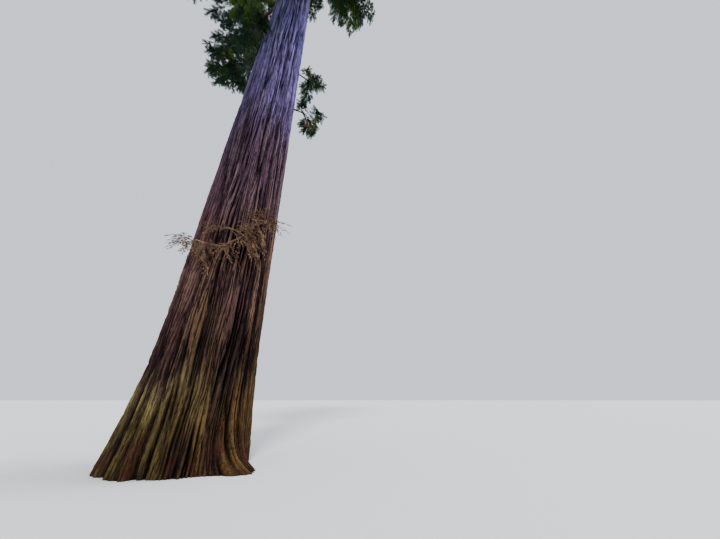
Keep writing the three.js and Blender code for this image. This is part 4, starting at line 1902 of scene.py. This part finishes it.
@dataclass(frozen=True)
class DressForm:
    """How twigs, ribs and feathers are set on a spray's blade. Angles are degrees."""

    sag: float = 0.05
    sag_across: float = 2.2
    twig_shares: Row = (0.0, 0.35, 0.7)
    spine_shares: Row = (0.0, 0.3, 0.62, 0.93)
    radii: Row = (0.016, 0.0135, 0.0115, 0.0095, 0.007, 0.0045, 0.002)
    thin: float = 0.45
    thicker: float = 0.55
    thick_length: float = 1.2
    feather: float = 0.262
    small: float = 0.62
    larger: float = 0.38
    full_length: float = 1.6
    rib_step: float = 0.078
    ribbed: float = 0.9
    least_ribs: int = 5
    first_rib: float = 0.03
    rib_span: float = 0.86
    lean: float = 58.0
    closing: float = 20.0
    uneven_lean: float = 6.0
    first_reach: float = 0.05
    least_reach: float = 0.04
    reach_rounds: int = 4
    blade_end: float = 0.97
    inside: float = 0.55
    rib_radii: Row = (0.0042, 0.0016)
    feather_step: float = 0.082
    feather_start: float = 0.6
    uneven_start: float = 0.2
    fork: float = 34.0
    uneven_fork: float = 14.0
    hang: float = -0.22
    uneven_hang: float = 0.3
    uneven_size: float = 0.2
    last_share: float = 0.88
    last_hang: float = -0.15
    uneven_last: float = 0.2
    end_shares: Row = (0.8, 0.88, 0.95)
    end_turn: float = 0.25
    tilt_side: float = 0.5
    tilt_along: float = 0.4

    def thickness(self, length: float) -> float:
        """How thick a spray's twig is for its length, as a share of the thickest."""
        return self.thin + self.thicker * min(1.0, length / self.thick_length)

    def feather_size(self, length: float) -> float:
        """How long the feathers of a spray are for its length."""
        return self.feather * (self.small + self.larger * min(1.0, length / self.full_length))

    def rib_reach(self, length: float, x: float, lean: float, size: float) -> float:
        """How far a rib goes for its last feather to end at the blade's edge.

        Args:
            length: The spray's length.
            x: Where on the midrib the rib starts.
            lean: Its angle to the midrib, in radians.
            size: The length of its feathers.

        Returns:
            The rib's length.
        """
        reach = self.first_reach
        for _ in range(self.reach_rounds):
            end = min(self.blade_end, (x + reach * math.cos(lean)) / length)
            half = FORM.half_width(end) * (length * FORM.width)
            reach = max(self.least_reach, (half - self.inside * size) / math.sin(lean))
        return reach

    def face(self, spray: Spray, draws: Draws) -> Point:
        """The way that a feather's face looks: near the blade's own, with some tilt."""
        face = plus(spray.over, spray.side, draws.spread(self.tilt_side))
        return unit(plus(face, spray.along, draws.spread(self.tilt_along)))


@dataclass(frozen=True)
class Rib:
    """A side twig of a spray: its start along the blade, its side, its angle to the midrib and its length."""

    spray: Spray
    spot: Callable[[float, float], Point]
    x: float
    side: int
    lean: float
    reach: float

    def at(self, share: float) -> Point:
        """The point at a share of the rib."""
        out = self.reach * share
        return self.spot(self.x + out * math.cos(self.lean), self.side * out * math.sin(self.lean))


def no_feathers() -> dict[Tint, list[Feather]]:
    """An empty list of feathers for each tint."""
    return {tint: [] for tint in Tint}


@dataclass
class Foliage:
    """The boughs, twigs and feathers of all the masses."""

    masses: list[Mass]
    growth: Growth
    form: DressForm = DressForm()
    bough_steps: int = 22
    stem_steps: int = 14
    stem_end: float = 0.008
    collar: float = 1.2
    collar_share: float = 0.24
    seed: int = 1000
    # The yellow-green tint is partly a painted sunlit tone.
    tints: tuple[tuple[float, Tint], ...] = ((0.02, Tint.DRY), (0.13, Tint.FRESH), (0.3, Tint.TEAL))
    deep_folds: float = 7.0
    bough_tube: TubeForm = TubeForm(12, 0.028, 7.0)
    twig_tube: TubeForm = TubeForm(4)
    rib_tube: TubeForm = TubeForm(3)
    bough_bark: TwigFinish = TwigFinish("bough_bark", (0.02, 0.014, 0.013), (0.11, 0.08, 0.072), 46.0, 0.006)
    twig_bark: TwigFinish = TwigFinish("twig_bark", (0.035, 0.021, 0.014), (0.12, 0.075, 0.045), 70.0, 0.002)
    rib_bark: TwigFinish = TwigFinish("rib_bark", (0.03, 0.035, 0.012), (0.08, 0.06, 0.028), 80.0, 0.001)
    limbs: Paths = field(default_factory=Paths)
    twigs: Paths = field(default_factory=Paths)
    ribs: Paths = field(default_factory=Paths)
    feathers: dict[Tint, list[Feather]] = field(default_factory=no_feathers)

    def limb(self, mass: Mass) -> None:
        """Adds a mass's bough and stem as one tapering path.

        Args:
            mass: The mass.
        """
        form = self.growth.bough
        steps = self.bough_steps if mass.bough else self.stem_steps
        joint = form.share if mass.bough else 0.0
        points, radii = [], []
        for i in range(steps + 1):
            share = i / steps
            points.append(mass.limb.point(share))
            swelling = 1 + self.collar * max(0.0, 1 - share / self.collar_share) ** 2
            if share < joint:
                radii.append(swelling * (form.root + (mass.root - form.root) * share / joint))
            else:
                radii.append(mass.root + (self.stem_end - mass.root) * (share - joint) / (1 - joint))
        self.limbs.add(points, radii)

    def tint(self, draws: Draws) -> Tint:
        """Deals a tint to one spray.

        Args:
            draws: The random stream.

        Returns:
            The tint.
        """
        chance = draws.next()
        common = Tint.DEEP if chance * self.deep_folds % 1 < 0.5 else Tint.LEAF
        return next((tint for below, tint in self.tints if chance < below), common)

    def spray(self, spray: Spray, tint: Tint, draws: Draws) -> None:
        """Adds a spray's twig, its midrib, its ribs and their feathers.

        Args:
            spray: The spray, as in the solids or as a finer one.
            tint: The colour of its needles.
            draws: The random stream.
        """
        form, length, width = self.form, spray.length, spray.length * FORM.width
        feathers = self.feathers[tint]

        def spot(x: float, y: float) -> Point:
            """A point of the drooping blade, from metres along and across it."""
            drop = form.sag * (x * x + form.sag_across * y * y) / length
            return spray.at(x / length, y / width, -drop)

        thick = form.thickness(length)
        twig = [spray.twig(share) for share in form.twig_shares]
        spine = [spot(length * share, 0.0) for share in form.spine_shares]
        self.twigs.add(twig + spine, [thick * radius for radius in form.radii])
        size = form.feather_size(length)
        count = max(form.least_ribs, round(form.ribbed * length / form.rib_step))
        for k in range(count):
            x = length * (form.first_rib + form.rib_span * (k + 0.5) / count)
            side = 1 if k % 2 else -1
            lean = math.radians(form.lean - form.closing * x / length + draws.spread(form.uneven_lean))
            rib = Rib(spray, spot, x, side, lean, form.rib_reach(length, x, lean, size))
            self.rib(rib, size, feathers, draws)
        for share in form.end_shares:
            way = unit(plus(spray.along, spray.side, draws.spread(form.end_turn)))
            foot = spot(length * share - 0.5 * size, 0.0)
            feathers.append(Feather(foot, way, form.face(spray, draws), size))

    def rib(self, rib: Rib, size: float, feathers: list[Feather], draws: Draws) -> None:
        """Adds one rib of a spray with its feathers.

        Args:
            rib: The rib's place in its spray.
            size: The length of its feathers.
            feathers: Where they are kept.
            draws: The random stream.
        """
        form = self.form
        path = [rib.at(share) for share in (0.0, 1.0)]
        self.ribs.add(path, form.rib_radii)
        forward = unit(plus(path[1], path[0], -1.0))
        number = max(1, round(rib.reach / form.feather_step))
        for j in range(number):
            foot = rib.at((j + form.feather_start + draws.spread(form.uneven_start)) / number)
            fork = math.radians((form.fork + draws.spread(form.uneven_fork)) * (1 if j % 2 else -1))
            way = rolled(forward, rib.spray.over, fork)
            way = unit(plus(way, UP, form.hang + draws.spread(form.uneven_hang)))
            face = form.face(rib.spray, draws)
            feathers.append(Feather(foot, way, face, size * (1 + draws.spread(form.uneven_size))))
        way = unit(plus(forward, UP, form.last_hang + draws.spread(form.uneven_last)))
        feathers.append(Feather(rib.at(form.last_share), way, form.face(rib.spray, draws), size))

    def build(self, tubes: Tree) -> None:
        """Makes and dresses the boughs, the twigs and the feathers.

        Args:
            tubes: The geometry tree that makes limbs along paths.
        """
        for index, mass in enumerate(self.masses):
            draws = Draws(self.seed + index)
            self.limb(mass)
            for spray in (*mass.sprays, *mass.fine):
                self.spray(spray, self.tint(draws), draws)
        boughs = [mass.bough for mass in self.masses if mass.bough]
        nodes = [mass.node for mass in self.masses]
        dress(self.limbs.grow(tubes, "bough_bark", self.bough_tube, self.bough_bark), "bough_bark", boughs)
        dress(self.twigs.grow(tubes, "spray_twigs", self.twig_tube, self.twig_bark), "needles", nodes)
        dress(self.ribs.grow(tubes, "spray_ribs", self.rib_tube, self.rib_bark), "needles", nodes)
        Needles("needles", "needles", nodes).build(self.feathers)


@dataclass(frozen=True)
class DeadLimb:
    """A dead limb that leaves the trunk, sweeps round it and hangs: its bearing, height, sweep and seed."""

    node: str
    bearing: float
    height: float
    sweep: float
    seed: int


@dataclass(frozen=True)
class ShootForm:
    """The thin shoots that hang from the dead limbs' twigs, and their dry ends."""

    count: int = 19
    first: float = 0.15
    span: float = 0.8
    turn: float = 1.6
    rise: float = -0.2
    uneven_rise: float = 0.6
    length: float = 0.4
    least: float = 0.3
    more: float = 0.7
    bend: float = 0.5
    fall: float = -0.3
    radii: Row = (0.0028, 0.0021, 0.0012)
    golden: float = 0.45
    ends: int = 6
    end_turn: float = 1.2
    end_rise: float = 0.5
    end_radii: Row = (0.0018, 0.001)
    end_tilt: float = 0.6
    tuft: float = 0.045
    least_tuft: float = 0.8
    more_tuft: float = 0.5


@dataclass
class DeadWood:
    """The dead limbs low on the bole, with their bare twigs and their shoots' dry ends."""

    trunk: TrunkForm = TrunkForm()
    limbs: tuple[DeadLimb, ...] = (
        DeadLimb("dead_limb_left", 206, 3.18, 36, 91),
        DeadLimb("dead_limb_front", 240, 3.42, 40, 92),
        DeadLimb("dead_limb_right", 322, 3.8, -42, 93),
    )
    finer_seed: int = 100
    steps: int = 12
    twig_count: int = 6
    sink: float = 0.8
    stand: float = 0.2
    rise: float = 0.07
    drop: float = 0.17
    root: float = 0.024
    tip: float = 0.009
    bare: float = 0.22
    last: float = 0.93
    reach: float = 0.56
    shorter: float = 0.5
    fan: float = 30.0
    hang: float = 0.75
    lift: float = 0.3
    away: float = 0.06
    further: float = 0.21
    twig_shares: Row = (0.0, 0.3, 0.6, 1.0)
    twig_sway: float = 0.012
    twig_root: float = 0.009
    twig_tip: float = 0.0035
    room: float = 0.02
    shoot: ShootForm = ShootForm()
    tube: TubeForm = TubeForm(6, 0.004, 20.0)
    bark: TwigFinish = TwigFinish("dead_bark", (0.08, 0.05, 0.038), (0.3, 0.195, 0.13), 60.0, 0.002)
    wood: Paths = field(default_factory=Paths)
    tufts: dict[Tint, list[Feather]] = field(default_factory=no_feathers)

    def limb(self, dead: DeadLimb) -> None:
        """Adds one dead limb and its twigs, as in the solids.

        Args:
            dead: The limb.
        """
        draws = Draws(dead.seed)
        finer = Draws(dead.seed + self.finer_seed)
        trunk, height = self.trunk, dead.height
        radius = trunk.spread(height, dead.bearing)
        start = trunk.around(radius * self.sink, dead.bearing, height)
        middle = trunk.around(radius + self.stand, dead.bearing + dead.sweep / 4, height + self.rise)
        tip = trunk.around(radius + self.stand, dead.bearing + dead.sweep, height - self.drop)
        curve = Limb(start, middle, tip)
        shares = [i / self.steps for i in range(self.steps + 1)]
        radii = [self.root + (self.tip - self.root) * share for share in shares]
        self.wood.add([curve.point(share) for share in shares], radii)
        for i in range(self.twig_count):
            share = self.bare + (1 - self.bare) * (i + draws.next()) / self.twig_count
            foot = curve.point(min(share, self.last))
            heading = dead.bearing + dead.sweep * share + 2 * self.fan * (draws.next() - 0.5)
            reach = self.reach * (self.shorter + (1 - self.shorter) * draws.next())
            z = foot[2] + reach * (self.lift - (self.lift + self.hang) * draws.next())
            out = trunk.spread(z, heading) + self.away + self.further * draws.next()
            self.twig(foot, trunk.around(out, heading, z), finer)

    def twig(self, foot: Point, end: Point, draws: Draws) -> None:
        """Adds one bare twig with its shoots.

        Args:
            foot: Where it leaves the limb.
            end: Its tip.
            draws: The random stream of the finer growth.
        """
        form = self.shoot
        way = unit(plus(end, foot, -1.0))
        side = unit(cross(way, UP))
        sway = [0.0, draws.spread(self.twig_sway), draws.spread(self.twig_sway), 0.0]
        points = [plus(towards(foot, end, share), side, bend) for share, bend in zip(self.twig_shares, sway)]
        radii = [self.twig_root + (self.twig_tip - self.twig_root) * share for share in self.twig_shares]
        self.wood.add(points, radii)
        for i in range(form.count):
            start = towards(foot, end, form.first + form.span * (i + draws.next()) / form.count)
            turned = plus(way, side, draws.spread(form.turn))
            turned = unit(plus(turned, UP, form.rise + draws.spread(form.uneven_rise)))
            reach = form.length * (form.least + form.more * draws.next())
            self.shoot_from(start, turned, reach, draws)

    def shoot_from(self, start: Point, way: Point, reach: float, draws: Draws) -> None:
        """Adds one hanging shoot with its dry ends, where it is clear of the bark.

        Args:
            start: Where it leaves its twig.
            way: Its first direction.
            reach: Its length.
            draws: The random stream of the finer growth.
        """
        form = self.shoot
        middle = plus(start, way, reach * form.bend)
        tip = plus(plus(start, way, reach), UP, form.fall * reach)
        if not (self.clear(middle) and self.clear(tip)):
            return
        self.wood.add([start, middle, tip], form.radii)
        tint = Tint.GOLD if draws.next() < form.golden else Tint.DRY
        onward = unit(plus(tip, start, -1.0))
        side = unit(cross(onward, UP))
        for k in range(form.ends):
            place = towards(middle, tip, (k + draws.next()) / form.ends)
            turned = plus(onward, side, draws.spread(form.end_turn))
            turned = unit(plus(turned, UP, draws.spread(form.end_rise)))
            end = plus(place, turned, form.tuft)
            if self.clear(end):
                self.wood.add([place, end], form.end_radii)
                face = unit((draws.spread(form.end_tilt), draws.spread(form.end_tilt), 1.0))
                size = form.tuft * (form.least_tuft + form.more_tuft * draws.next())
                self.tufts[tint].append(Feather(place, turned, face, size))

    def clear(self, point: Point) -> bool:
        """Whether a point is outside the bark."""
        x, y, _ = plus(point, self.trunk.axis(point[2]), -1.0)
        return math.hypot(x, y) > self.trunk.spread(point[2], math.degrees(math.atan2(y, x))) + self.room

    def build(self, tubes: Tree) -> None:
        """Makes and dresses the dead limbs.

        Args:
            tubes: The geometry tree that makes limbs along paths.
        """
        for dead in self.limbs:
            self.limb(dead)
        nodes = [dead.node for dead in self.limbs]
        dress(self.wood.grow(tubes, "dead_limbs", self.tube, self.bark), "dead_wood", nodes)
        Needles("dry_ends", "dead_wood", nodes).build(self.tufts)


@dataclass(frozen=True)
class Lamp:
    """A broad light: its name, its strength, its softness in degrees and where it comes from."""

    name: str
    energy: float
    softness: float
    source: Point

    def build(self) -> None:
        """Makes the light."""
        light = bpy.data.lights.new(self.name, "SUN")
        light.energy = self.energy
        light.angle = math.radians(self.softness)
        lamp = linked(self.name, light)
        lamp.rotation_mode = "QUATERNION"
        lamp.rotation_quaternion = Vector(self.source).to_track_quat("Z", "Y")


@dataclass(frozen=True)
class Studio:
    """The floor, the light and the camera at the photograph's viewing angle."""

    eye: Point = (0.0, -5.15, 0.8)
    pitch: float = 25.8
    turn: float = -28.25
    lens: float = 13.5
    sensor: float = 36.0
    nearest: float = 0.05
    furthest: float = 2000.0
    floor_half: float = 1200.0
    floor_tone: Point = (0.72, 0.72, 0.71)
    floor_dark: float = 0.97
    floor_grain: Grain = Grain(1.0, 60.0)
    floor_rough: float = 0.9
    floor_specular: float = 0.5
    sky_tone: Point = (0.86, 0.91, 1.0)
    sky_strength: float = 0.85
    look: str = "AgX - Medium High Contrast"
    lamps: tuple[Lamp, ...] = (
        Lamp("key_light", 2.0, 14.0, (-0.35, -0.75, 0.75)),
        Lamp("fill_light", 1.3, 40.0, (0.9, -0.1, 0.6)),
    )

    def build(self) -> None:
        """Makes the floor, the lights and the camera."""
        self.floor()
        self.sky()
        bpy.context.scene.view_settings.look = self.look
        for lamp in self.lamps:
            lamp.build()
        self.camera()

    def floor(self) -> None:
        """Makes the plain pale floor."""
        half = self.floor_half
        corners = [(-half, -half, 0), (half, -half, 0), (half, half, 0), (-half, half, 0)]
        mesh = bpy.data.meshes.new("floor")
        mesh.from_pydata(corners, [], [(0, 1, 2, 3)])
        floor = linked("floor", mesh)
        material, graph, shader = new_material("floor_card", self.floor_specular)
        dark = tuple(self.floor_dark * c for c in self.floor_tone)
        colour = graph.mix(self.floor_grain.laid(graph), dark, self.floor_tone)
        graph.feed(shader, Base_Color=colour, Roughness=self.floor_rough)
        mesh.materials.append(material)

    def sky(self) -> None:
        """Makes the soft even light of the studio."""
        world = bpy.data.worlds.new("studio")
        world.use_nodes = True
        background = world.node_tree.nodes["Background"]
        background.inputs["Color"].default_value = (*self.sky_tone, 1.0)
        background.inputs["Strength"].default_value = self.sky_strength
        bpy.context.scene.world = world

    def camera(self) -> None:
        """Makes the camera at the photograph's own place, looking up past the trunk."""
        data = bpy.data.cameras.new("camera")
        data.lens = self.lens
        data.sensor_width = self.sensor
        data.clip_start = self.nearest
        data.clip_end = self.furthest
        camera = linked("camera", data)
        camera.location = self.eye
        camera.rotation_euler = (math.radians(90 + self.pitch), 0.0, math.radians(self.turn))
        bpy.context.scene.camera = camera


def write_sizes() -> None:
    """Updates the view layer."""
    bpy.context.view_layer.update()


def main() -> None:
    """Builds the tree's looks in order."""
    logging.basicConfig(level=logging.INFO, format="%(name)s %(message)s")
    growth = Growth()
    masses = growth.masses()
    sprays = sum(len(mass.sprays) + len(mass.fine) for mass in masses)
    LOG.info("%d masses, %d sprays", len(masses), sprays)
    tubes = TubeForm().tree()
    TrunkBark().build()
    Foliage(masses, growth).build(tubes)
    DeadWood().build(tubes)
    Studio().build()
    write_sizes()


if __name__ == "__main__":
    main()
